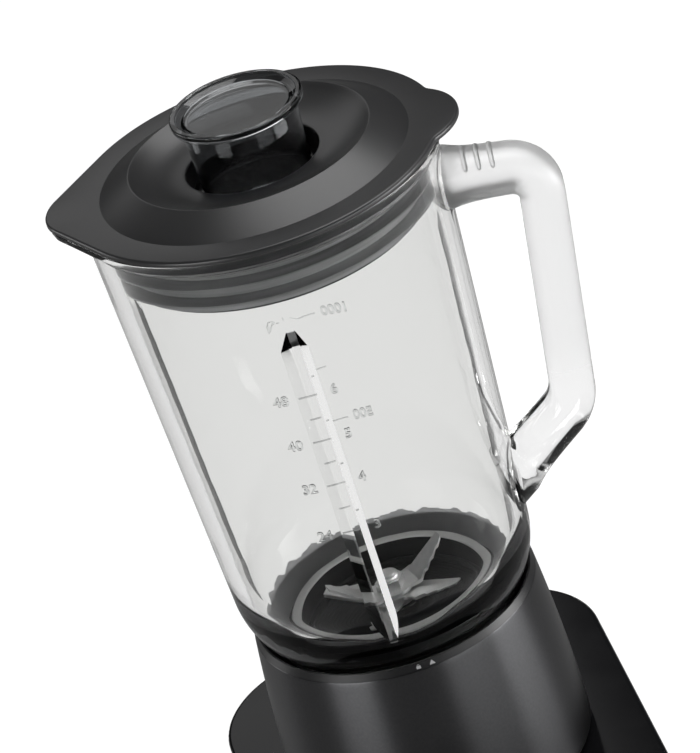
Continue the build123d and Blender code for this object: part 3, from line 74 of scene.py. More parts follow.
def spinGrid(profile, angles):
    # point (r, z) of the profile turned to every angle: (r cos a, r sin a, z)
    r, z = profile[:, 0][:, None], profile[:, 1][:, None]
    return np.stack([r * np.cos(angles), r * np.sin(angles), z + 0 * angles], -1)


def gridQuads(rows, cols, wrapRows, wrapCols):
    # each point with its neighbours to the right and below; a wrapped side joins its last line to its first
    index = np.arange(rows * cols).reshape(rows, cols)
    if wrapRows:
        index = np.vstack([index, index[:1]])
    if wrapCols:
        index = np.hstack([index, index[:, :1]])
    return np.stack([index[:-1, :-1], index[:-1, 1:], index[1:, 1:], index[1:, :-1]], -1).reshape(-1, 4)


def meshPiece(name, grids, material, sharpAngle=32, other=None, isOther=None):
    # grids: list of (points in mm, wrapRows, wrapCols), joined, merged and turned outwards
    mesh = bpy.data.meshes.new(name)
    points, quads, base = [], [], 0
    for grid, wrapRows, wrapCols in grids:
        points.append(grid.reshape(-1, 3))
        quads.append(gridQuads(*grid.shape[:2], wrapRows, wrapCols) + base)
        base += grid.shape[0] * grid.shape[1]
    mesh.from_pydata((np.vstack(points) * mm).tolist(), [], np.vstack(quads).tolist())
    shell = bmesh.new()
    shell.from_mesh(mesh)
    bmesh.ops.remove_doubles(shell, verts=shell.verts, dist=mergeDistance)
    bmesh.ops.recalc_face_normals(shell, faces=shell.faces)
    shell.to_mesh(mesh)
    shell.free()
    mesh.shade_smooth()
    mesh.set_sharp_from_angle(angle=math.radians(sharpAngle))
    mesh.materials.append(material)
    if other is not None:
        # faces whose centre passes the test take the second material
        mesh.materials.append(other)
        centre = np.empty(len(mesh.polygons) * 3)
        mesh.polygons.foreach_get("center", centre)
        centre = centre.reshape(-1, 3) / mm
        mesh.polygons.foreach_set("material_index", isOther(centre).astype(np.int32))
    piece = bpy.data.objects.new(name, mesh)
    bpy.context.scene.collection.objects.link(piece)
    return piece


def seat(piece, body, slot, *replaced):
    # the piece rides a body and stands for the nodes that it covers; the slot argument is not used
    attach(piece, body)
    if replaced:
        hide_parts(*replaced)
    return piece


def turned(grid, angle):
    # whole grid turned about the drive axis
    c, s = math.cos(math.radians(angle)), math.sin(math.radians(angle))
    return grid @ np.array([[c, s, 0], [-s, c, 0], [0, 0, 1]])


fullTurn = np.radians(np.arange(0, 360, 2.0))


# looks of the pieces

socketNames = {"color": "Base Color", "rough": "Roughness", "metal": "Metallic", "ior": "IOR",
               "through": "Transmission Weight", "spec": "Specular IOR Level", "specTint": "Specular Tint",
               "aniso": "Anisotropic", "anisoTurn": "Anisotropic Rotation"}


def setSockets(material, **sockets):
    # plain values on the shader's own sockets; a colour gets its fourth value
    shader = material.node_tree.nodes["Principled BSDF"]
    for key, value in sockets.items():
        shader.inputs[socketNames[key]].default_value = (*value, 1) if isinstance(value, tuple) else value


def newMaterial(name, **sockets):
    # one shader with these values, and its defaults for the rest
    material = bpy.data.materials.new(name)
    material.use_nodes = True
    setSockets(material, **sockets)
    return material


def objectNoise(material, scale, detail=3.0, stretch=(1, 1, 1)):
    # noise on the piece's own coordinates, stretched along its axes
    tree = material.node_tree
    coords = tree.nodes.new("ShaderNodeTexCoord")
    mapping = tree.nodes.new("ShaderNodeMapping")
    noise = tree.nodes.new("ShaderNodeTexNoise")
    mapping.inputs["Scale"].default_value = stretch
    noise.inputs["Scale"].default_value = scale
    noise.inputs["Detail"].default_value = detail
    tree.links.new(coords.outputs["Object"], mapping.inputs["Vector"])
    tree.links.new(mapping.outputs["Vector"], noise.inputs["Vector"])
    return noise.outputs["Fac"]


def bumpFrom(material, source, strength, depth):
    # relief as high as the source times the depth
    tree = material.node_tree
    bump = tree.nodes.new("ShaderNodeBump")
    bump.inputs["Strength"].default_value = strength
    bump.inputs["Distance"].default_value = depth
    tree.links.new(source, bump.inputs["Height"])
    tree.links.new(bump.outputs["Normal"], tree.nodes["Principled BSDF"].inputs["Normal"])


def rangeInto(material, source, socket, low, high):
    # a socket that runs from low to high as the source runs from 0 to 1
    tree = material.node_tree
    ramp = tree.nodes.new("ShaderNodeMapRange")
    ramp.inputs["To Min"].default_value = low
    ramp.inputs["To Max"].default_value = high
    tree.links.new(source, ramp.inputs["Value"])
    tree.links.new(ramp.outputs["Result"], tree.nodes["Principled BSDF"].inputs[socket])


def tintBetween(material, source, dark, light, darkEnd=0.3, lightStart=0.7):
    # colour that passes from dark to light over the middle of the source's range
    tree = material.node_tree
    ramp = tree.nodes.new("ShaderNodeValToRGB")
    ramp.color_ramp.elements[0].position = darkEnd
    ramp.color_ramp.elements[1].position = lightStart
    ramp.color_ramp.elements[0].color = (*dark, 1)
    ramp.color_ramp.elements[1].color = (*light, 1)
    tree.links.new(source, ramp.inputs["Fac"])
    tree.links.new(ramp.outputs["Color"], tree.nodes["Principled BSDF"].inputs["Base Color"])


def mouldedPlastic(name, dark, light, roughLow, roughHigh, grain=900, grainDepth=0.00004, cloud=24, relief=0.25):
    # fine moulded grain with faint cloudy colour
    material = newMaterial(name)
    tintBetween(material, objectNoise(material, cloud), dark, light)
    fine = objectNoise(material, grain, 2)
    rangeInto(material, fine, "Roughness", roughLow, roughHigh)
    bumpFrom(material, fine, relief, grainDepth)
    return material


def workedMetal(name, dark, light, roughLow, roughHigh, stretch, scale=260, depth=0.00002, relief=0.15):
    # lines of the tool: noise stretched along the piece
    material = newMaterial(name, metal=1.0)
    lines = objectNoise(material, scale, 3, stretch)
    tintBetween(material, lines, dark, light)
    rangeInto(material, lines, "Roughness", roughLow, roughHigh)
    bumpFrom(material, lines, relief, depth)
    return material


def heightRange(material, lowZ, highZ):
    # 0 below and 1 above a band of heights on the piece, even in between
    tree = material.node_tree
    coords = tree.nodes.new("ShaderNodeTexCoord")
    split = tree.nodes.new("ShaderNodeSeparateXYZ")
    ramp = tree.nodes.new("ShaderNodeMapRange")
    ramp.inputs["From Min"].default_value = lowZ
    ramp.inputs["From Max"].default_value = highZ
    tree.links.new(coords.outputs["Object"], split.inputs[0])
    tree.links.new(split.outputs["Z"], ramp.inputs["Value"])
    return ramp.outputs["Result"]


def castGlass(name, color, rough, ior, wave, waveDepth, gleam=(1.0, 1.0, 1.0), relief=0.35):
    # clear solid glass or plastic with the slow waves of a pressed surface
    material = newMaterial(name, color=color, rough=rough, through=1.0, ior=ior, specTint=gleam)
    bumpFrom(material, objectNoise(material, wave, 1), relief, waveDepth)
    return material


clearGlass = castGlass("clearGlass", (0.885, 0.887, 0.880), 0.0, 1.48, 45, 0.0002, (0.10, 0.10, 0.10))
groundGlass = newMaterial("groundGlass", rough=0.45, through=0.35, ior=1.48, specTint=(0.35, 0.35, 0.35))
tintBetween(groundGlass, objectNoise(groundGlass, 160), (0.38, 0.385, 0.395), (0.44, 0.445, 0.455))
bumpFrom(groundGlass, objectNoise(groundGlass, 400, 1), 0.35, 0.0001)
handleGlass = castGlass("handleGlass", (0.99, 0.99, 0.99), 0.0, 1.48, 45, 0.0001)
rangeInto(handleGlass, heightRange(handleGlass, 0.195, 0.225), "Roughness", 0.03, 0.40)
smokedCup = castGlass("smokedCup", (0.38, 0.39, 0.40), 0.0, 1.46, 18, 0.00002, (0.6, 0.6, 0.6))
lidSatin = mouldedPlastic("lidSatin", (0.036, 0.036, 0.037), (0.041, 0.041, 0.042), 0.29, 0.34)
sealRubber = newMaterial("sealRubber", rough=0.3)
sealLines = objectNoise(sealRubber, 30, 3, (0.4, 0.4, 16))
tintBetween(sealRubber, sealLines, (0.15, 0.15, 0.155), (0.37, 0.375, 0.38))
bumpFrom(sealRubber, sealLines, 0.2, 0.0003)
feetRubber = mouldedPlastic("feetRubber", (0.018, 0.018, 0.019), (0.028, 0.028, 0.03), 0.7, 0.85)
blackPlastic = mouldedPlastic("blackPlastic", (0.010, 0.010, 0.011), (0.014, 0.014, 0.015), 0.26, 0.34)
plinthGloss = mouldedPlastic("plinthGloss", (0.006, 0.006, 0.007), (0.009, 0.009, 0.01), 0.10, 0.16, 60, 0.00002)
setSockets(plinthGloss, spec=0.3)
knobPlastic = mouldedPlastic("knobPlastic", (0.05, 0.05, 0.054), (0.065, 0.065, 0.07), 0.35, 0.45)
palePlastic = mouldedPlastic("palePlastic", (0.55, 0.53, 0.48), (0.62, 0.60, 0.55), 0.45, 0.55)
boardGreen = mouldedPlastic("boardGreen", (0.02, 0.10, 0.05), (0.03, 0.14, 0.07), 0.3, 0.4)
carbonBlack = mouldedPlastic("carbonBlack", (0.02, 0.02, 0.02), (0.04, 0.04, 0.04), 0.6, 0.8)
bodyGraphite = workedMetal("bodyGraphite", (0.105, 0.105, 0.109), (0.118, 0.118, 0.122), 0.30, 0.34, (1, 1, 1), 900)
setSockets(bodyGraphite, aniso=0.8, anisoTurn=0.25)  # highlights drawn out up and down the sleeve
bladeSteel = workedMetal("bladeSteel", (0.80, 0.80, 0.80), (0.90, 0.90, 0.90), 0.42, 0.52, (1, 1, 1), 300)
plainSteel = workedMetal("plainSteel", (0.40, 0.41, 0.42), (0.55, 0.56, 0.57), 0.3, 0.42, (1, 1, 6))
copperWire = workedMetal("copperWire", (0.60, 0.27, 0.13), (0.72, 0.36, 0.18), 0.3, 0.4, (1, 1, 8))
castAluminium = workedMetal("castAluminium", (0.5, 0.5, 0.51), (0.6, 0.6, 0.61), 0.42, 0.55, (1, 1, 1), 400)
markPale = mouldedPlastic("markPale", (0.42, 0.42, 0.43), (0.50, 0.50, 0.51), 0.5, 0.6)
glassMark = newMaterial("glassMark", color=(0.90, 0.91, 0.91), rough=0.06, through=1.0, ior=1.48)
bumpFrom(glassMark, objectNoise(glassMark, 1500, 2), 0.4, 0.00008)
paleSilicone = mouldedPlastic("paleSilicone", (0.80, 0.80, 0.79), (0.88, 0.88, 0.87), 0.4, 0.5)

slotLook = {"clear_glass": clearGlass, "smoked_plastic": smokedCup, "lid_plastic": lidSatin,
            "grey_rubber": sealRubber, "black_rubber": feetRubber, "black_plastic": blackPlastic,
            "gloss_black": plinthGloss, "graphite_metal": bodyGraphite, "knob_plastic": knobPlastic,
            "pale_plastic": palePlastic, "blade_steel": bladeSteel, "plain_steel": plainSteel,
            "copper": copperWire, "cast_aluminium": castAluminium, "carbon": carbonBlack,
            "board_green": boardGreen}
for row in frame["record"]["subparts"]:
    cadMesh = nodes[row["node"]].data
    cadMesh.materials.clear()
    cadMesh.materials.append(slotLook[row["material_slot"]])
collarBlack = mouldedPlastic("collarBlack", (0.010, 0.010, 0.011), (0.014, 0.014, 0.015), 0.34, 0.40)
nodes["collar"].data.materials[0] = collarBlack
dishBlack = mouldedPlastic("dishBlack", (0.014, 0.014, 0.015), (0.024, 0.024, 0.026), 0.40, 0.48)
setSockets(dishBlack, spec=0.35)
print("materials made:", len(slotLook))


# outline shared by the lid and the jug's pouring lip

def hullRadius(angles, mainR, tipR, reach):
    # circle about the axis joined by tangent lines to a small circle at -X; distance to it along each angle
    offset = reach - tipR
    normal = math.acos((mainR - tipR) / offset)
    away = np.abs(angles % (2 * math.pi) - math.pi)
    tipEdge = math.atan2(tipR * math.sin(normal), offset + tipR * math.cos(normal))
    line = mainR / np.cos(np.clip(away - normal, -1.2, 1.2))
    tip = offset * np.cos(away) + np.sqrt(np.clip(tipR ** 2 - (offset * np.sin(away)) ** 2, 0, None))
    return np.where(away > normal, mainR, np.where(away > tipEdge, line, tip))


# glass jug: one closed surface, outer wall, lip, inner wall with three ribs, floor and neck

jug = {"angle": -9.0, "glassBottom": 120.0, "height": 219.5, "baseR": 64.2, "rimR": 75.0, "wall": 6.2,
       "floor": 7.0, "neckR": 47.5, "neckBore": 41.5, "neckBottom": 112.0, "footEdge": 52.0, "footStart": 28.0,
       "floorEdge": 46.0, "floorStart": 30.0, "lipR": 77.0, "lipHeight": 4.0, "spoutReach": 87.5,
       "spoutTip": 23.0, "spoutWall": 5.0, "spoutDepth": 2.0, "lipLead": 9.0, "lipBend": 6.5,
       "underLip": 3.0, "lipRound": 1.5, "footRows": 70, "floorRows": 34, "wallRows": 24, "pointRows": 9}
rib = {"angles": (-90.0, 0.0, 180.0), "shares": (1.0, 0.62, 0.62), "low": 12.0, "high": 179.0, "point": 9.0,
       "depth": 3.5, "width": 12.4, "crest": 3.2, "clear": 6.4, "steepShare": 0.68}
ground = {"height": 129.2, "scallop": 2.2, "tear": 0.35, "count": 14, "frontDip": 12.0, "dipStart": 12.0,
          "dipRun": 38.0, "skin": 1.5, "sways": ((1.2, 3, 0.5), (0.6, 7, 0.0)), "evenShare": 0.65, "sideShare": 0.35}


def wallR(z):
    # outside of the glass: an even cone from the base to the rim
    return jug["baseR"] + (jug["rimR"] - jug["baseR"]) * (z - jug["glassBottom"]) / jug["height"]


def tangentArc(startR, startZ, endR, endZ, slope, steps):
    # arc that leaves the sloping wall tangentially and ends at a point lower and nearer the axis
    along = np.array([-slope, -1.0]) / math.hypot(slope, 1)
    inward = np.array([-1.0, slope]) / math.hypot(slope, 1)
    toEnd = np.array([endR - startR, endZ - startZ])
    radius = (toEnd @ toEnd) / (2 * (toEnd @ inward))
    centre = np.array([startR, startZ]) + inward * radius
    first, last = -inward, (np.array([endR, endZ]) - centre) / radius
    sweep = math.acos(np.clip(first @ last, -1, 1))
    s = np.linspace(0, 1, steps)[:, None] * sweep
    return centre + radius * (np.cos(s) * first + np.sin(s) * along)


def ribColumns(size, line):
    # a row of angles for each height: even steps, and seven lines held to the crest, faces and foot of each rib
    half = rib["crest"] / 2 + (rib["width"] - rib["crest"]) / 2 * size
    crest = rib["crest"] / 2 + 0 * half
    steep = crest + (half - crest) * rib["steepShare"]
    offsets = np.stack([-half, -(half + crest) / 2, -crest, 0 * half, crest, (steep + crest) / 2, steep], -1)
    even = np.arange(0, 360, 1.0)
    columns, shape = [], []
    for a, share in zip(rib["angles"], rib["shares"]):
        even = even[np.abs((even - a + 180) % 360 - 180) > rib["clear"]]
        columns.append(math.radians(a % 360 or 360) + offsets * share / line[:, None])
        shape.append(np.array([0, 0.5, 1, 1, 1, 0.5, 0]) * share)
    columns.append(np.radians(even) + 0 * half[:, None])
    columns, shape = np.hstack(columns), np.concatenate(shape + [0 * even])
    order = np.argsort(columns[len(columns) // 2])
    return columns[:, order], shape[order]


def makeJug():
    # outside from the foot up, over the lip and the spout, down the ribbed inside, then the floor and the neck
    b, top = jug["glassBottom"], jug["glassBottom"] + jug["height"]
    slope = (jug["rimR"] - jug["baseR"]) / jug["height"]
    footZ, floorZ = b + jug["footStart"], b + jug["floor"] + jug["floorStart"]
    foot = tangentArc(wallR(footZ), footZ, jug["footEdge"], b, slope, jug["footRows"])[::-1]
    outerZ = np.linspace(footZ, top - jug["lipHeight"] - jug["underLip"], jug["wallRows"])[1:]
    outer = np.stack([wallR(outerZ), outerZ], -1)
    leadZ, bendZ = top - jug["lipLead"], top - jug["lipBend"]
    lipLow = roundedProfile([(wallR(leadZ), leadZ), (wallR(bendZ), bendZ, 2.0),
                             (jug["lipR"], top - jug["lipHeight"], jug["lipRound"]),
                             (jug["lipR"], top, jug["lipRound"]), (jug["rimR"] - 1, top)], 4)[1:]
    ribTop = b + rib["high"]
    innerZ = np.unique(np.concatenate([
        np.linspace(floorZ, top - jug["spoutDepth"], jug["wallRows"]),
        np.linspace(ribTop - rib["point"], ribTop, jug["pointRows"])]))[::-1]
    floor = tangentArc(wallR(floorZ) - jug["wall"], floorZ, jug["floorEdge"], b + jug["floor"], slope,
                       jug["floorRows"])[1:]
    inner = np.vstack([np.stack([wallR(innerZ) - jug["wall"], innerZ], -1), floor])
    neck = roundedProfile([(jug["floorEdge"], b + jug["floor"]), (jug["neckBore"], b + jug["floor"], 1.5),
                           (jug["neckBore"], jug["neckBottom"], 0.6), (jug["neckR"], jug["neckBottom"], 0.6),
                           (jug["neckR"], b, 0.8), (jug["footEdge"], b)], 4)[1:-1]
    # ribs: a ridge on the sloping wall, shrinking to a point above and running into the floor's curve below
    line = wallR(inner[:, 1]) - jug["wall"]
    size = np.clip((ribTop - inner[:, 1]) / rib["point"], 0, 1) * (inner[:, 1] > b + rib["low"])
    size = np.clip(size - (line - inner[:, 0]) / rib["depth"], 0, 1)
    columns, shape = ribColumns(size, line)
    angles = columns[len(columns) // 2]
    hull = hullRadius(angles, jug["lipR"], jug["spoutTip"], jug["spoutReach"]) - jug["lipR"]
    pocket = hullRadius(angles, wallR(top) - 2 * jug["wall"], jug["spoutTip"] - jug["spoutWall"],
                        jug["spoutReach"] - jug["spoutWall"])
    pocketR = np.maximum(pocket, wallR(top) - jug["wall"])
    outside = spinGrid(np.vstack([foot, outer]), angles)
    # lip: its radius follows the outline with the spout
    lipWeight = np.clip((lipLow[:, 0] - jug["rimR"]) / (jug["lipR"] - jug["rimR"]), 0, 1)[:, None]
    lipR = lipLow[:, :1] + lipWeight * hull
    lip = np.stack([lipR * np.cos(angles), lipR * np.sin(angles), lipLow[:, 1:] + 0 * angles], -1)
    rimEdge = np.stack([pocketR, pocketR], 0)
    rimZ = np.array([[top], [top - jug["spoutDepth"]]]) + 0 * angles
    rim = np.stack([rimEdge * np.cos(angles), rimEdge * np.sin(angles), rimZ], -1)
    innerR = inner[:, :1] - rib["depth"] * size[:, None] * shape
    inside = np.stack([innerR * np.cos(columns), innerR * np.sin(columns), inner[:, 1:] + 0 * columns], -1)
    rest = spinGrid(neck, angles)
    whole = turned(np.vstack([outside, lip, rim, inside, rest]), jug["angle"])

    def onGround(centre):
        # outside of the foot, below a line of uneven scallops that falls away at the front
        x, y, z = centre.T
        a = np.arctan2(y, x)
        wave = ground["count"] * a
        for reach, turns, start in ground["sways"]:
            wave = wave + reach * np.sin(turns * a + start)
        deep = ground["scallop"] * (ground["evenShare"] - ground["sideShare"] * np.cos(a))
        line = ground["height"] + deep * np.abs(np.sin(wave)) + ground["tear"] * np.sin(3 * wave + a)
        line -= ground["frontDip"] * np.clip((-y - ground["dipStart"]) / ground["dipRun"], 0, 1)
        outside = np.hypot(x, y) > np.interp(z, foot[:, 1], foot[:, 0]) - ground["skin"]
        return outside & (z < line)

    return meshPiece("jugGlass", [(whole, True, True)], clearGlass, 28, groundGlass, onGround)


seat(makeJug(), "jug", "clear_glass", "glass_jug")

handle = {"upperZ": 307.0, "upperX": 110.7, "upperSlope": 4.4 / 35.7, "lowerZ": 195.4, "lowerX": 98.0,
          "lowerSlope": 0.776, "upperBend": 13.0, "lowerBend": 20.0, "thick": 19.0, "wide": 22.0,
          "edge": 7.0, "flare": 0.22, "flareLength": 7.0, "flareStart": 5.0, "startX": 69.0, "deeper": 6.0,
          "intoWall": 3.2, "bendSteps": 14, "rows": 90, "ring": 56}
gripBars = {"places": (82.0, 87.6, 93.2), "radius": 1.1, "wrap": 62.0, "flatten": 0.75, "endPower": 12}


def makeHandle():
    # rounded oblong carried along the bent centreline; its ends run into the wall and swell a little there
    h = handle
    startX, endX = h["startX"], h["startX"] - h["deeper"]
    path = roundedProfile([
        (startX, h["upperZ"] + (h["upperX"] - startX) * h["upperSlope"]),
        (h["upperX"], h["upperZ"], h["upperBend"]), (h["lowerX"], h["lowerZ"], h["lowerBend"]),
        (endX, h["lowerZ"] - (h["lowerX"] - endX) * h["lowerSlope"])], h["bendSteps"])
    steps = np.linalg.norm(np.diff(path, axis=0), axis=1)
    run = np.concatenate([[0], np.cumsum(steps)])
    dense = np.unique(np.concatenate([run, np.linspace(0, run[-1], h["rows"])]))
    line = np.stack([np.interp(dense, run, path[:, 0]), np.interp(dense, run, path[:, 1])], -1)
    tangent = np.gradient(line, dense, axis=0)
    tangent /= np.linalg.norm(tangent, axis=1)[:, None]
    across = np.stack([-tangent[:, 1], tangent[:, 0]], -1)
    a = np.linspace(0, 2 * math.pi, h["ring"], endpoint=False)
    coreY, coreX = h["wide"] / 2 - h["edge"], h["thick"] / 2 - h["edge"]
    secY = coreY * np.sign(np.cos(a)) * (np.abs(np.cos(a)) > 0.02) + h["edge"] * np.cos(a)
    secX = coreX * np.sign(np.sin(a)) * (np.abs(np.sin(a)) > 0.02) + h["edge"] * np.sin(a)
    near = np.minimum(dense, dense[-1] - dense)
    swell = (1 + h["flare"] * np.exp(-np.maximum(near - h["flareStart"], 0) / h["flareLength"]))[:, None]
    x = line[:, :1] + across[:, :1] * secX * swell
    z = line[:, 1:] + across[:, 1:] * secX * swell
    y = secY * swell + 0 * x
    # first and last rings slide along the arm until they lie inside the wall
    for row, sign in ((0, 1.0), (-1, -1.0)):
        tx, tz = tangent[row] * sign
        for _ in range(4):
            inWall = np.sqrt(np.clip((wallR(z[row]) - h["intoWall"]) ** 2 - y[row] ** 2, 0, None))
            move = (inWall - x[row]) / tx
            x[row], z[row] = x[row] + move * tx, z[row] + move * tz
    body = np.stack([x, y, z], -1)
    caps = [np.stack([body[i], body[i].mean(0) + 0 * body[i]], 0) for i in (0, -1)]
    grids = [(turned(body, jug["angle"]), False, True)]
    grids += [(turned(cap, jug["angle"]), False, True) for cap in caps]
    return meshPiece("jugHandle", grids, handleGlass, 40)


seat(makeHandle(), "jug", "clear_glass", "glass_jug")


def makeGripBars():
    # three low half-round bars over the top of the handle, bent down its rounded edges, with rounded ends
    grids = []
    flat, edge, wrap = handle["wide"] / 2 - handle["edge"], handle["edge"], math.radians(gripBars["wrap"])
    u = np.linspace(0, 2 * math.pi, 20, endpoint=False)
    s = np.linspace(-1, 1, 41)[:, None]
    taper = np.sqrt(np.clip(1 - np.abs(s) ** gripBars["endPower"], 0, 1))
    run = np.abs(s) * (flat + edge * wrap)
    bend = np.maximum(run - flat, 0) / edge
    side = np.sign(s)
    for place in gripBars["places"]:
        topZ = handle["upperZ"] + (handle["upperX"] - place) * handle["upperSlope"] + handle["thick"] / 2
        rise = gripBars["flatten"] * gripBars["radius"] * taper * np.sin(u)
        y = side * (np.minimum(run, flat) + (edge + rise) * np.sin(bend))
        z = topZ - edge + (edge + rise) * np.cos(bend)
        bar = np.stack([place + gripBars["radius"] * taper * np.cos(u), y, z], -1)
        grids.append((turned(bar, jug["angle"]), False, True))
    return meshPiece("gripBars", grids, handleGlass, 60)


seat(makeGripBars(), "jug", "clear_glass", "glass_jug")
print("jug made")

# lid: spun cone, bowl and sleeve; the flange's edge follows its outline

lid = {"rim": 339.5, "flange": 2.5, "mainR": 78.0, "spoutReach": 88.6, "spoutTip": 24.0, "tabReach": 86.0,
       "tabR": 29.0, "tabBlend": 8.0, "coneR": 65.3, "ridgeR": 51.0, "ridgeRise": 7.8, "bowlR": 40.0,
       "bowlRise": 3.0, "holeR": 28.0, "holeRise": 1.5, "skirtR": 61.5, "plugDepth": 30.0, "wall": 2.5,
       "sleeveR": 24.9, "ledge": 8.0, "sleeveDepth": 20.0, "fineEdge": 0.4, "flangeEdge": 1.1, "coneEdge": 0.5,
       "ridgeEdge": 0.9, "holeEdge": 0.7, "plugEdge": 0.6, "coneLead": 1.2, "stillBand": 1.0}


def lidRadius(angles):
    # hull with the spout lobe, then the thumb tab at +X, blended by a small hollow arc on each side
    outline = hullRadius(angles, lid["mainR"], lid["spoutTip"], lid["spoutReach"])
    away = np.abs((angles + math.pi) % (2 * math.pi) - math.pi)
    tabX, tabR, blend = lid["tabReach"] - lid["tabR"], lid["tabR"], lid["tabBlend"]
    tab = tabX * np.cos(away) + np.sqrt(np.clip(tabR ** 2 - (tabX * np.sin(away)) ** 2, 0, None))
    cx = ((lid["mainR"] + blend) ** 2 - (tabR + blend) ** 2 + tabX ** 2) / (2 * tabX)
    cy = math.sqrt((lid["mainR"] + blend) ** 2 - cx ** 2)
    mainEdge = math.atan2(cy, cx)
    tabEdge = math.atan2(cy * tabR / (tabR + blend), tabX + (cx - tabX) * tabR / (tabR + blend))
    reach = math.hypot(cx, cy)
    hollow = reach * np.cos(away - mainEdge) - np.sqrt(
        np.clip(blend ** 2 - (reach * np.sin(away - mainEdge)) ** 2, 0, None))
    return np.where(away > mainEdge, outline, np.where(away > tabEdge, hollow, tab))


def arcThrough(first, middle, last, steps):
    # circle arc through three points
    (ax, ay), (bx, by), (cx, cy) = first, middle, last
    d = 2 * (ax * (by - cy) + bx * (cy - ay) + cx * (ay - by))
    ux = ((ax**2 + ay**2) * (by - cy) + (bx**2 + by**2) * (cy - ay) + (cx**2 + cy**2) * (ay - by)) / d
    uy = ((ax**2 + ay**2) * (cx - bx) + (bx**2 + by**2) * (ax - cx) + (cx**2 + cy**2) * (bx - ax)) / d
    radius = math.hypot(ax - ux, ay - uy)
    a0, a1 = math.atan2(ay - uy, ax - ux), math.atan2(cy - uy, cx - ux)
    turn = (a1 - a0 + math.pi) % (2 * math.pi) - math.pi
    a = a0 + turn * np.linspace(0, 1, steps)
    return np.stack([ux + radius * np.cos(a), uy + radius * np.sin(a)], -1)


def makeLid():
    # flange, cone, bowl, filler hole with its sleeve, and the skirt that plugs into the jug
    z0 = lid["rim"]
    top, ridge = z0 + lid["flange"], z0 + lid["flange"] + lid["ridgeRise"]
    hole, ledge = top + lid["holeRise"], top - lid["ledge"]
    sleeveLow, plugLow = top - lid["sleeveDepth"], z0 - lid["plugDepth"]
    w, skirtIn, fine = lid["wall"], lid["skirtR"] - lid["wall"], lid["fineEdge"]
    bowl = arcThrough((lid["ridgeR"], ridge), (lid["bowlR"], top + lid["bowlRise"]), (lid["holeR"], hole), 14)
    bowlUnder = arcThrough((lid["holeR"] + w, hole - w), (lid["bowlR"], top + lid["bowlRise"] - w),
                           (lid["ridgeR"] - w / 4, ridge - w), 8)
    flange = roundedProfile([(lid["skirtR"], z0), (lid["mainR"], z0, fine), (lid["mainR"], top, lid["flangeEdge"]),
                             (lid["coneR"], top)], 4)
    upper = roundedProfile([(lid["coneR"] + lid["coneLead"], top), (lid["coneR"], top, lid["coneEdge"]),
                            (lid["ridgeR"], ridge, lid["ridgeEdge"]), *[tuple(p) for p in bowl[1:-1]],
                            (lid["holeR"], hole, lid["holeEdge"]),
                            (lid["holeR"], ledge, fine), (lid["sleeveR"], ledge, fine),
                            (lid["sleeveR"], sleeveLow, fine), (lid["sleeveR"] + w, sleeveLow, fine),
                            (lid["sleeveR"] + w, ledge - w), (lid["holeR"] + w, ledge - w),
                            *[tuple(p) for p in bowlUnder], (skirtIn, z0 + w), (skirtIn, plugLow, fine),
                            (lid["skirtR"], plugLow, lid["plugEdge"]), (lid["skirtR"], z0)], 4)[1:-1]
    angles = np.radians(np.arange(0, 360, 1.0))
    profile = np.vstack([flange[:-1], upper])
    weight = np.zeros(len(profile))
    # round beside the cone, and moved out to the lid's outline at the edge
    still = lid["stillBand"]
    weight[:len(flange) - 1] = np.clip((flange[:-1, 0] - lid["coneR"] - still)
                                       / (lid["mainR"] - lid["coneR"] - still - lid["flangeEdge"]), 0, 1)
    r = profile[:, :1] + weight[:, None] * (lidRadius(angles) - lid["mainR"])
    grid = np.stack([r * np.cos(angles), r * np.sin(angles), profile[:, 1:] + 0 * angles], -1)
    return meshPiece("lidShell", [(turned(grid, jug["angle"]), True, True)], lidSatin, 30)


seat(makeLid(), "lid", "lid_plastic", "lid")

lidSeal = {"low": 311.5, "high": 336.5, "innerR": 61.55, "wall": 1.9, "lips": (4.0, 12.0, 20.0),
           "lipHeight": 3.0, "gap": 0.4, "lipCrown": 1.25, "lipFall": 1.6, "lipShift": 0.4}


def makeSeal():
    # sleeve with three soft lips: the outer radius swells to the glass near each lip's height
    z = np.linspace(lidSeal["low"], lidSeal["high"], 101)
    r = np.full_like(z, lidSeal["innerR"] + lidSeal["wall"])
    for lip in lidSeal["lips"]:
        lipZ = lidSeal["low"] + lip
        reach = wallR(lipZ) - jug["wall"] - lidSeal["gap"]
        away = np.abs(z - lipZ - lidSeal["lipShift"]) / lidSeal["lipHeight"]
        r = np.maximum(r, lidSeal["innerR"] + lidSeal["wall"] + (reach - lidSeal["innerR"] - lidSeal["wall"])
                       * np.clip(lidSeal["lipCrown"] - away * lidSeal["lipFall"], 0, 1))
    back = np.array([[lidSeal["innerR"], lidSeal["high"]], [lidSeal["innerR"], lidSeal["low"]]])
    grid = spinGrid(np.vstack([np.stack([r, z], -1), back]), fullTurn)
    return meshPiece("lidSealRing", [(grid, True, True)], sealRubber, 40)


seat(makeSeal(), "lid", "grey_rubber", "lid_seal")

cup = {"top": 369.0, "bottom": 320.0, "rimR": 27.9, "rimHeight": 4.5, "rimSlope": 1.4, "topR": 24.2, "baseR": 22.4,
       "wall": 2.0, "sink": 2.2, "step": 0.9, "ringWall": 2.6, "beadR": 26.8, "beadZ": 334.0, "beadHeight": 2.0}


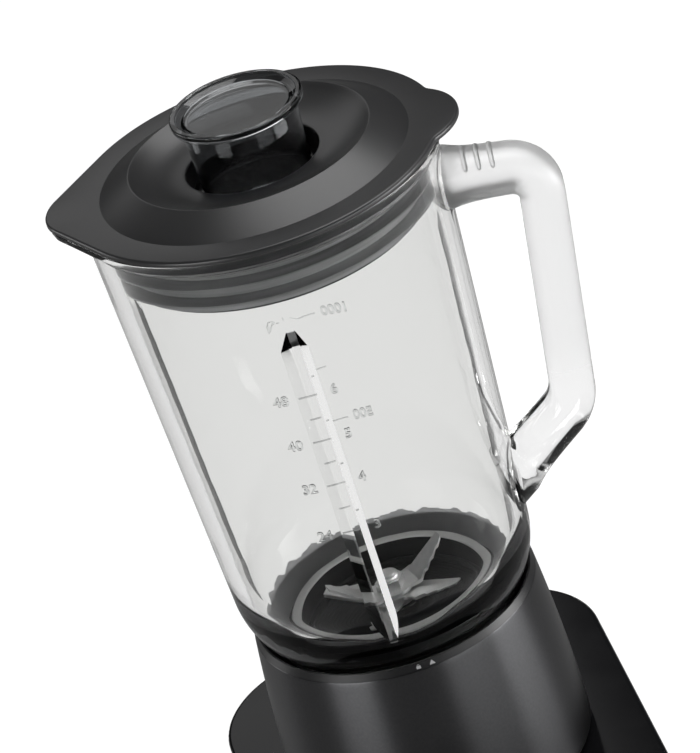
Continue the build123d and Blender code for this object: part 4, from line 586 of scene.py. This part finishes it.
def makeCup():
    # closed top sunk in a ring, a side that narrows downwards, and a bead that holds it in the sleeve
    c = cup
    disc = c["top"] - c["sink"]
    rimLow = c["top"] - c["rimHeight"]
    grow = (c["topR"] - c["baseR"]) / (rimLow - c["bottom"])
    atBead = c["baseR"] + grow * (c["beadZ"] - c["bottom"])
    profile = roundedProfile([
        (0, disc - c["wall"]), (c["topR"] - c["wall"], disc - c["wall"], 1.5),
        (c["baseR"] - c["wall"], c["bottom"], 0.6), (c["baseR"], c["bottom"], 0.6),
        (atBead, c["beadZ"]), (c["beadR"], c["beadZ"], 0.5), (c["beadR"], c["beadZ"] + c["beadHeight"], 0.7),
        (atBead + grow * c["beadHeight"], c["beadZ"] + c["beadHeight"]), (c["topR"], rimLow, 0.8),
        (c["rimR"], rimLow + c["rimSlope"], 0.8), (c["rimR"], c["top"], 0.7),
        (c["rimR"] - c["ringWall"], c["top"], 0.4), (c["rimR"] - c["ringWall"], c["top"] - c["step"], 0.25),
        (c["topR"] - c["wall"], c["top"] - 2 * c["step"], 0.3), (c["topR"] - c["wall"] - 0.3, disc, 0.15),
        (0, disc)], 5)
    grid = spinGrid(profile, fullTurn)
    return meshPiece("fillerCup", [(grid, False, True)], smokedCup, 30)


seat(makeCup(), "cup", "smoked_plastic", "measuring_cup")
print("lid and cup made")

# blade holder: dished plate with concentric ridges

holder = {"bottom": 107.0, "top": 110.0, "flangeR": 47.5, "wallR": 41.1, "rim": 119.0, "wall": 2.5,
          "dishEdge": 116.5, "plate": 2.6, "flatR": 15.0, "floor": 114.1, "hubR": 10.5, "hubTop": 122.1,
          "boreR": 7.05, "under": 111.5, "ridgePitch": 1.9, "ridgeHeight": 0.16,
          "ridgePower": 0.6}


def makeHolder():
    # the dish falls evenly from rim to hub, with a fine ridge repeated along its radius
    h = holder
    r = np.linspace(h["wallR"] - h["wall"], h["flatR"], 150)
    slope = (h["dishEdge"] - h["floor"]) / (h["wallR"] - h["wall"] - h["flatR"])
    ridge = h["ridgeHeight"] * np.abs(np.sin(np.pi * (r - h["flatR"]) / h["ridgePitch"])) ** h["ridgePower"]
    dish = np.stack([r, h["floor"] + (r - h["flatR"]) * slope + ridge], -1)
    outer = roundedProfile([
        (h["wallR"] - 2 * h["wall"], h["bottom"]), (h["flangeR"], h["bottom"], 0.4), (h["flangeR"], h["top"], 0.4),
        (h["wallR"], h["top"]), (h["wallR"], h["rim"], 0.8), (h["wallR"] - h["wall"], h["rim"], 0.8),
        tuple(dish[0])], 4)
    hub = roundedProfile([tuple(dish[-1]), (h["hubR"], h["floor"], 0.8), (h["hubR"], h["hubTop"], 1.0),
                          (h["boreR"], h["hubTop"]), (h["boreR"], h["under"]), (h["flatR"], h["under"]),
                          (h["wallR"] - 2 * h["wall"], h["dishEdge"] - h["plate"]),
                          (h["wallR"] - 2 * h["wall"], h["bottom"])], 4)
    profile = np.vstack([outer[:-1], dish, hub[1:-1]])
    return meshPiece("bladeHolder", [(spinGrid(profile, fullTurn), True, True)], dishBlack, 24)


seat(makeHolder(), "jug", "black_plastic", "blade_holder")

gasket = {"outerR": 47.5, "boreR": 41.45, "wallR": 41.15, "lipR": 45.6, "low": 110.0, "high": 112.0,
          "lipLow": 127.0, "lipHigh": 128.2}


def makeGasket():
    # flat ring under the neck, a thin sleeve up the bore and a lip that lies on the glass floor
    g = gasket
    profile = roundedProfile([
        (g["wallR"], g["low"]), (g["outerR"], g["low"], 0.5), (g["outerR"], g["high"], 0.5), (g["boreR"], g["high"]),
        (g["boreR"], g["lipLow"]), (g["lipR"], g["lipLow"]), (g["lipR"], g["lipHigh"], 0.8),
        (g["wallR"], g["lipHigh"], 0.6), (g["wallR"], (g["low"] + g["lipHigh"]) / 2)], 4)

    def onSleeve(centre):
        # faces of the thin sleeve, below the pale lip
        return (np.hypot(centre[:, 0], centre[:, 1]) < g["boreR"]) & (centre[:, 2] < g["lipLow"] + 0.4)

    return meshPiece("neckGasket", [(spinGrid(profile, fullTurn), True, True)], paleSilicone, 40, dishBlack, onSleeve)


seat(makeGasket(), "jug", "grey_rubber", "jug_gasket")
print("blade holder made")

# motor body: bowed metal sleeve with a rolled foot

bodySleeve = {"low": 39.0, "high": 124.0, "topR": 62.5, "baseR": 67.0, "bulge": 0.9, "roll": 6.0, "wall": 1.4,
              "lipR": 59.9, "flangeR": 60.4}


def makeBody():
    # side bowed out as an arc through foot, middle and top; the inside is the same arc one wall nearer the axis
    b = bodySleeve
    middle = ((b["topR"] + b["baseR"]) / 2 + b["bulge"], (b["low"] + b["roll"] + b["high"]) / 2)
    side = arcThrough((b["baseR"], b["low"] + b["roll"]), middle, (b["topR"], b["high"]), 30)
    inside = side[::-1] - np.array([b["wall"], 0])
    outer = roundedProfile([(b["flangeR"], b["low"]), (b["baseR"], b["low"], b["roll"] - 0.2),
                            tuple(side[0] + np.array([0, 0.4])), *[tuple(p) for p in side[1:-1]],
                            (b["topR"], b["high"], 0.5), (b["lipR"], b["high"]),
                            (b["lipR"], b["high"] - b["wall"]), (b["topR"] - b["wall"], b["high"] - b["wall"]),
                            *[tuple(p) for p in inside[1:-1]],
                            (b["baseR"] - b["wall"], b["low"] + b["wall"], 4.0),
                            (b["flangeR"], b["low"] + b["wall"])], 8)
    return meshPiece("bodySleeve", [(spinGrid(outer, fullTurn), True, True)], bodyGraphite, 30)


seat(makeBody(), "base", "graphite_metal", "body_shell")

# marks on the collar, laid just proud of its sloping band

collarBand = {"lowR": 62.5, "lowZ": 124.0, "highR": 61.0, "highZ": 127.0, "proud": 0.06,
              "lockedAngle": -92.8, "pointerAngle": -87.2, "openAngle": -1.2, "openSwing": 0.7}
padlock = {"halfWide": 0.95, "low": -1.05, "shoulder": 0.15, "outer": (0.62, 0.75), "inner": (0.36, 0.47)}
pointer = [(-1.3, -0.95), (1.3, -0.95), (0.0, 1.0)]


def bandMark(name, shapes, angle):
    # flat shapes in (along, up) mm wrapped round the band: angle along it, height up its slope
    c = collarBand
    length = math.hypot(c["highR"] - c["lowR"], c["highZ"] - c["lowZ"])
    out = np.array([c["highZ"] - c["lowZ"], c["lowR"] - c["highR"]]) / length * c["proud"]
    points, faces, base = [], [], 0
    for shape in shapes:
        flat = np.array(shape, float)
        t = flat[:, 1] / length + 0.5
        r = c["lowR"] + (c["highR"] - c["lowR"]) * t + out[0]
        z = c["lowZ"] + (c["highZ"] - c["lowZ"]) * t + out[1]
        a = math.radians(angle) + flat[:, 0] / c["lowR"]
        points.append(np.stack([r * np.cos(a), r * np.sin(a), z], -1))
        faces.append(list(range(base, base + len(flat))))
        base += len(flat)
    mesh = bpy.data.meshes.new(name)
    mesh.from_pydata((np.vstack(points) * mm).tolist(), [], faces)
    mesh.materials.append(markPale)
    piece = bpy.data.objects.new(name, mesh)
    bpy.context.scene.collection.objects.link(piece)
    return seat(piece, "base", "pale_plastic")


def lockShape(openBy):
    # padlock: square body and a half-ring shackle, swung aside when open
    a = np.linspace(0, math.pi, 10)
    half, low, shoulder = padlock["halfWide"], padlock["low"], padlock["shoulder"]
    ring = []
    for (wide, high), arc in ((padlock["outer"], a), (padlock["inner"], a[::-1])):
        ring += [(openBy + wide * math.cos(v), shoulder + high * math.sin(v)) for v in arc]
    return [[(-half, low), (half, low), (half, shoulder), (-half, shoulder)], ring]


bandMark("lockedMark", lockShape(0.0), collarBand["lockedAngle"])
bandMark("pointerMark", [pointer], collarBand["pointerAngle"])
bandMark("openMark", lockShape(collarBand["openSwing"]), collarBand["openAngle"])
print("body and marks made")

# volume scale on the glass: plain numbers and ticks

scaleMarks = {"frontAngle": -93.2, "size": 6.4, "depth": 0.22, "bevel": 0.14, "tickHigh": 0.45,
              "levels": (269.3, 247.3, 225.5, 201.6), "left": ("48", "40", "32", "24"),
              "right": ("6", "5", "4", "3"), "leftX": -19.6, "rightX": 2.5, "tickX": -8.4, "tickWide": 7.6,
              "backAngle": 86.8, "sink": 0.6, "halfShift": 0.3, "halfShare": 0.6,
              "backNumbers": (("scaleBack1000", "1000", -14.5, 231.8), ("scaleBack10", "1.0", 13.0, 231.8),
                              ("scaleBack500", "500", -12.5, 180.0)),
              "backTicks": ((0.2, 231.8, 11.0), (0.2, 206.0, 6.0), (0.2, 180.0, 11.0))}


def wrapOnWall(flat, angle):
    # (along, z, out) in mm laid round the sloping outside of the glass
    r = wallR(flat[:, 1]) + flat[:, 2]
    a = math.radians(angle) + flat[:, 0] / wallR(flat[:, 1])
    return np.stack([r * np.cos(a), r * np.sin(a), flat[:, 1]], -1) * mm


def numberOnWall(name, text, x, z, angle):
    # raised figures made flat, then laid round the glass at one height
    curve = bpy.data.curves.new(name, "FONT")
    curve.body, curve.size = text, scaleMarks["size"]
    curve.align_x, curve.align_y = "CENTER", "CENTER"
    curve.extrude, curve.resolution_u = scaleMarks["depth"], 3
    curve.bevel_depth, curve.bevel_resolution = scaleMarks["bevel"], 1
    flatText = bpy.data.objects.new(name + "Text", curve)
    bpy.context.scene.collection.objects.link(flatText)
    bpy.context.view_layer.update()
    mesh = bpy.data.meshes.new_from_object(flatText.evaluated_get(bpy.context.evaluated_depsgraph_get()))
    bpy.data.objects.remove(flatText)
    co = np.empty(len(mesh.vertices) * 3)
    mesh.vertices.foreach_get("co", co)
    co = co.reshape(-1, 3)
    flat = np.stack([x + co[:, 0], z + co[:, 1], co[:, 2] + scaleMarks["depth"] * scaleMarks["sink"]], -1)
    mesh.vertices.foreach_set("co", wrapOnWall(flat, angle).ravel())
    mesh.materials.clear()
    mesh.materials.append(glassMark)
    mesh.update()
    piece = bpy.data.objects.new(name, mesh)
    bpy.context.scene.collection.objects.link(piece)
    return seat(piece, "jug", "clear_glass")


def ticksOnWall(name, ticks, angle):
    # thin bars: a small box for each (x, z, width), bent with the wall
    grids = []
    s = np.linspace(-0.5, 0.5, 7)[:, None]
    ring = np.array([[-1, -1], [1, -1], [1, 1], [-1, 1]], float)
    for x, z, wide in ticks:
        flat = np.stack([x + wide * s + 0 * ring[:, 0], z + scaleMarks["tickHigh"] / 2 * ring[:, 0] + 0 * s,
                         scaleMarks["depth"] * scaleMarks["sink"] + scaleMarks["depth"] * ring[:, 1] + 0 * s], -1)
        bar = wrapOnWall(flat.reshape(-1, 3), angle).reshape(7, 4, 3) / mm
        grids.append((bar, False, True))
    return seat(meshPiece(name, grids, glassMark, 20), "jug", "clear_glass")


m = scaleMarks
for level, leftText, rightText in zip(m["levels"], m["left"], m["right"]):
    numberOnWall("scaleLeft" + leftText, leftText, m["leftX"], level, m["frontAngle"])
    numberOnWall("scaleRight" + rightText, rightText, m["rightX"], level, m["frontAngle"])
fronts = [(m["tickX"], z, m["tickWide"]) for z in m["levels"]]
fronts += [(m["tickX"] + m["halfShift"], (a + b) / 2, m["tickWide"] * m["halfShare"])
           for a, b in zip(m["levels"], m["levels"][1:])]
ticksOnWall("scaleTicks", fronts, m["frontAngle"])
for name, text, x, z in m["backNumbers"]:
    numberOnWall(name, text, x, z, m["backAngle"])
ticksOnWall("scaleBackTicks", m["backTicks"], m["backAngle"])
print("scale made")

# floor, light and camera

studio = {"floorSize": 14.0, "seenGlow": 0.92, "mirrorGlow": 0.09, "floorTint": (0.22, 0.22, 0.22),
          "sideFade": (0.36, 0.8, 0.70, 0.12), "worldTop": 0.55, "worldLow": 0.28, "worldRise": 0.8}
lamps = {"leftBox": ((-1.05, -0.78, 0.21), (0, 0, 0.1), 0.7, 0.4, 6),  # place, target, width, height, watts
         "farLeftBox": ((-1.15, 0.62, 0.3), (0, 0, 0.12), 0.45, 0.5, 2),
         "rightBox": ((1.26, -0.40, 0.21), (0, 0, 0.1), 0.8, 0.4, 12),
         "frontRightBox": ((0.72, -1.1, 0.21), (0, 0, 0.1), 0.8, 0.4, 4.5),
         "topBox": ((0.45, 0.4, 1.75), (0, 0, 0.2), 1.2, 1.2, 17),
         "backBox": ((-0.285, 1.6, 1.17), (0, 0, 0.2), 1.03, 0.6, 1.4)}
view = {"focal": 4500.0, "place": (-0.0919, -1.6434, 1.1406), "width": 700, "height": 753,
        "elevation": 31.70, "azimuth": -3.2, "pan": 0.00566, "tilt": 0.0493, "roll": -17.97, "sensor": 36.0,
        "farLimit": 50.0}


def makeFloor():
    # a plain floor whose glow differs for what the camera, the glass and the mirrors see of it
    size = studio["floorSize"] / 2
    mesh = bpy.data.meshes.new("studioFloor")
    mesh.from_pydata([(-size, -size, 0), (size, -size, 0), (size, size, 0), (-size, size, 0)], [], [(0, 1, 2, 3)])
    material = bpy.data.materials.new("studioWhite")
    material.use_nodes = True
    tree = material.node_tree
    tree.nodes.clear()
    out = tree.nodes.new("ShaderNodeOutputMaterial")
    paint = tree.nodes.new("ShaderNodeBsdfDiffuse")
    glow = tree.nodes.new("ShaderNodeEmission")
    both = tree.nodes.new("ShaderNodeAddShader")
    path = tree.nodes.new("ShaderNodeLightPath")
    paint.inputs["Color"].default_value = (*studio["floorTint"], 1)
    # seen through glass, the pale floor fades towards both sides
    coords = tree.nodes.new("ShaderNodeTexCoord")
    split = tree.nodes.new("ShaderNodeSeparateXYZ")
    away = tree.nodes.new("ShaderNodeMath")
    away.operation = "ABSOLUTE"
    fade = tree.nodes.new("ShaderNodeMapRange")
    for label, value in zip(("From Min", "From Max", "To Min", "To Max"), studio["sideFade"]):
        fade.inputs[label].default_value = value
    tree.links.new(coords.outputs["Object"], split.inputs[0])
    tree.links.new(split.outputs["X"], away.inputs[0])
    tree.links.new(away.outputs[0], fade.inputs["Value"])
    total = None
    for rayKind, amount in (("Is Camera Ray", studio["seenGlow"]), ("Is Transmission Ray", None),
                            ("Is Glossy Ray", studio["mirrorGlow"])):
        part = tree.nodes.new("ShaderNodeMath")
        part.operation = "MULTIPLY_ADD"
        part.inputs[2].default_value = 0.0
        tree.links.new(path.outputs[rayKind], part.inputs[0])
        if amount is None:
            tree.links.new(fade.outputs["Result"], part.inputs[1])
        else:
            part.inputs[1].default_value = amount
        if total is not None:
            tree.links.new(total, part.inputs[2])
        total = part.outputs[0]
    tree.links.new(total, glow.inputs["Strength"])
    tree.links.new(paint.outputs[0], both.inputs[0])
    tree.links.new(glow.outputs[0], both.inputs[1])
    tree.links.new(both.outputs[0], out.inputs["Surface"])
    mesh.materials.append(material)
    floor = bpy.data.objects.new("studioFloor", mesh)
    bpy.context.scene.collection.objects.link(floor)


def makeWorld():
    # even light that grows from the horizon upwards
    world = bpy.data.worlds.new("studioWorld")
    bpy.context.scene.world = world
    world.use_nodes = True
    tree = world.node_tree
    back = tree.nodes["Background"]
    coords = tree.nodes.new("ShaderNodeTexCoord")
    split = tree.nodes.new("ShaderNodeSeparateXYZ")
    ramp = tree.nodes.new("ShaderNodeMapRange")
    ramp.inputs["From Min"].default_value = 0.0
    ramp.inputs["From Max"].default_value = studio["worldRise"]
    ramp.inputs["To Min"].default_value = studio["worldLow"]
    ramp.inputs["To Max"].default_value = studio["worldTop"]
    tree.links.new(coords.outputs["Generated"], split.inputs[0])
    tree.links.new(split.outputs["Z"], ramp.inputs["Value"])
    tree.links.new(ramp.outputs["Result"], back.inputs["Strength"])


def softbox(name, place, target, sizeX, sizeY, power):
    # flat lamp turned from its place to the target
    lamp = bpy.data.lights.new(name, "AREA")
    lamp.shape, lamp.size, lamp.size_y, lamp.energy = "RECTANGLE", sizeX, sizeY, power
    light = bpy.data.objects.new(name, lamp)
    bpy.context.scene.collection.objects.link(light)
    light.location = place
    light.rotation_euler = (Vector(target) - Vector(place)).to_track_quat("-Z", "Y").to_euler()


def makeCamera():
    # axes of the fitted camera: aimed at the collar, then panned, tilted and rolled
    turn, rise = math.radians(view["azimuth"]), math.radians(view["elevation"])
    away = Vector((math.sin(turn) * math.cos(rise), -math.cos(turn) * math.cos(rise), math.sin(rise)))
    ahead, right = -away, Vector((math.cos(turn), math.sin(turn), 0))
    up = right.cross(ahead)
    p, t, roll = view["pan"], view["tilt"], math.radians(view["roll"])
    ahead = (ahead * math.cos(p) * math.cos(t) + right * math.sin(p) * math.cos(t) + up * math.sin(t)).normalized()
    right = ahead.cross(up).normalized()
    up = right.cross(ahead)
    rolledRight = right * math.cos(roll) + up * math.sin(roll)
    rolledUp = up * math.cos(roll) - right * math.sin(roll)
    lens = bpy.data.cameras.new("photoCamera")
    lens.sensor_width = view["sensor"]
    lens.lens = view["focal"] * view["sensor"] / max(view["width"], view["height"])
    lens.clip_end = view["farLimit"]
    camera = bpy.data.objects.new("photoCamera", lens)
    bpy.context.scene.collection.objects.link(camera)
    turnMatrix = Matrix((rolledRight, rolledUp, -ahead)).transposed().to_4x4()
    camera.matrix_world = Matrix.Translation(view["place"]) @ turnMatrix
    bpy.context.scene.camera = camera


makeFloor()
makeWorld()
for lampName, settings in lamps.items():
    softbox(lampName, *settings)
makeCamera()
bpy.context.scene.view_settings.view_transform = "Standard"
print("studio made")
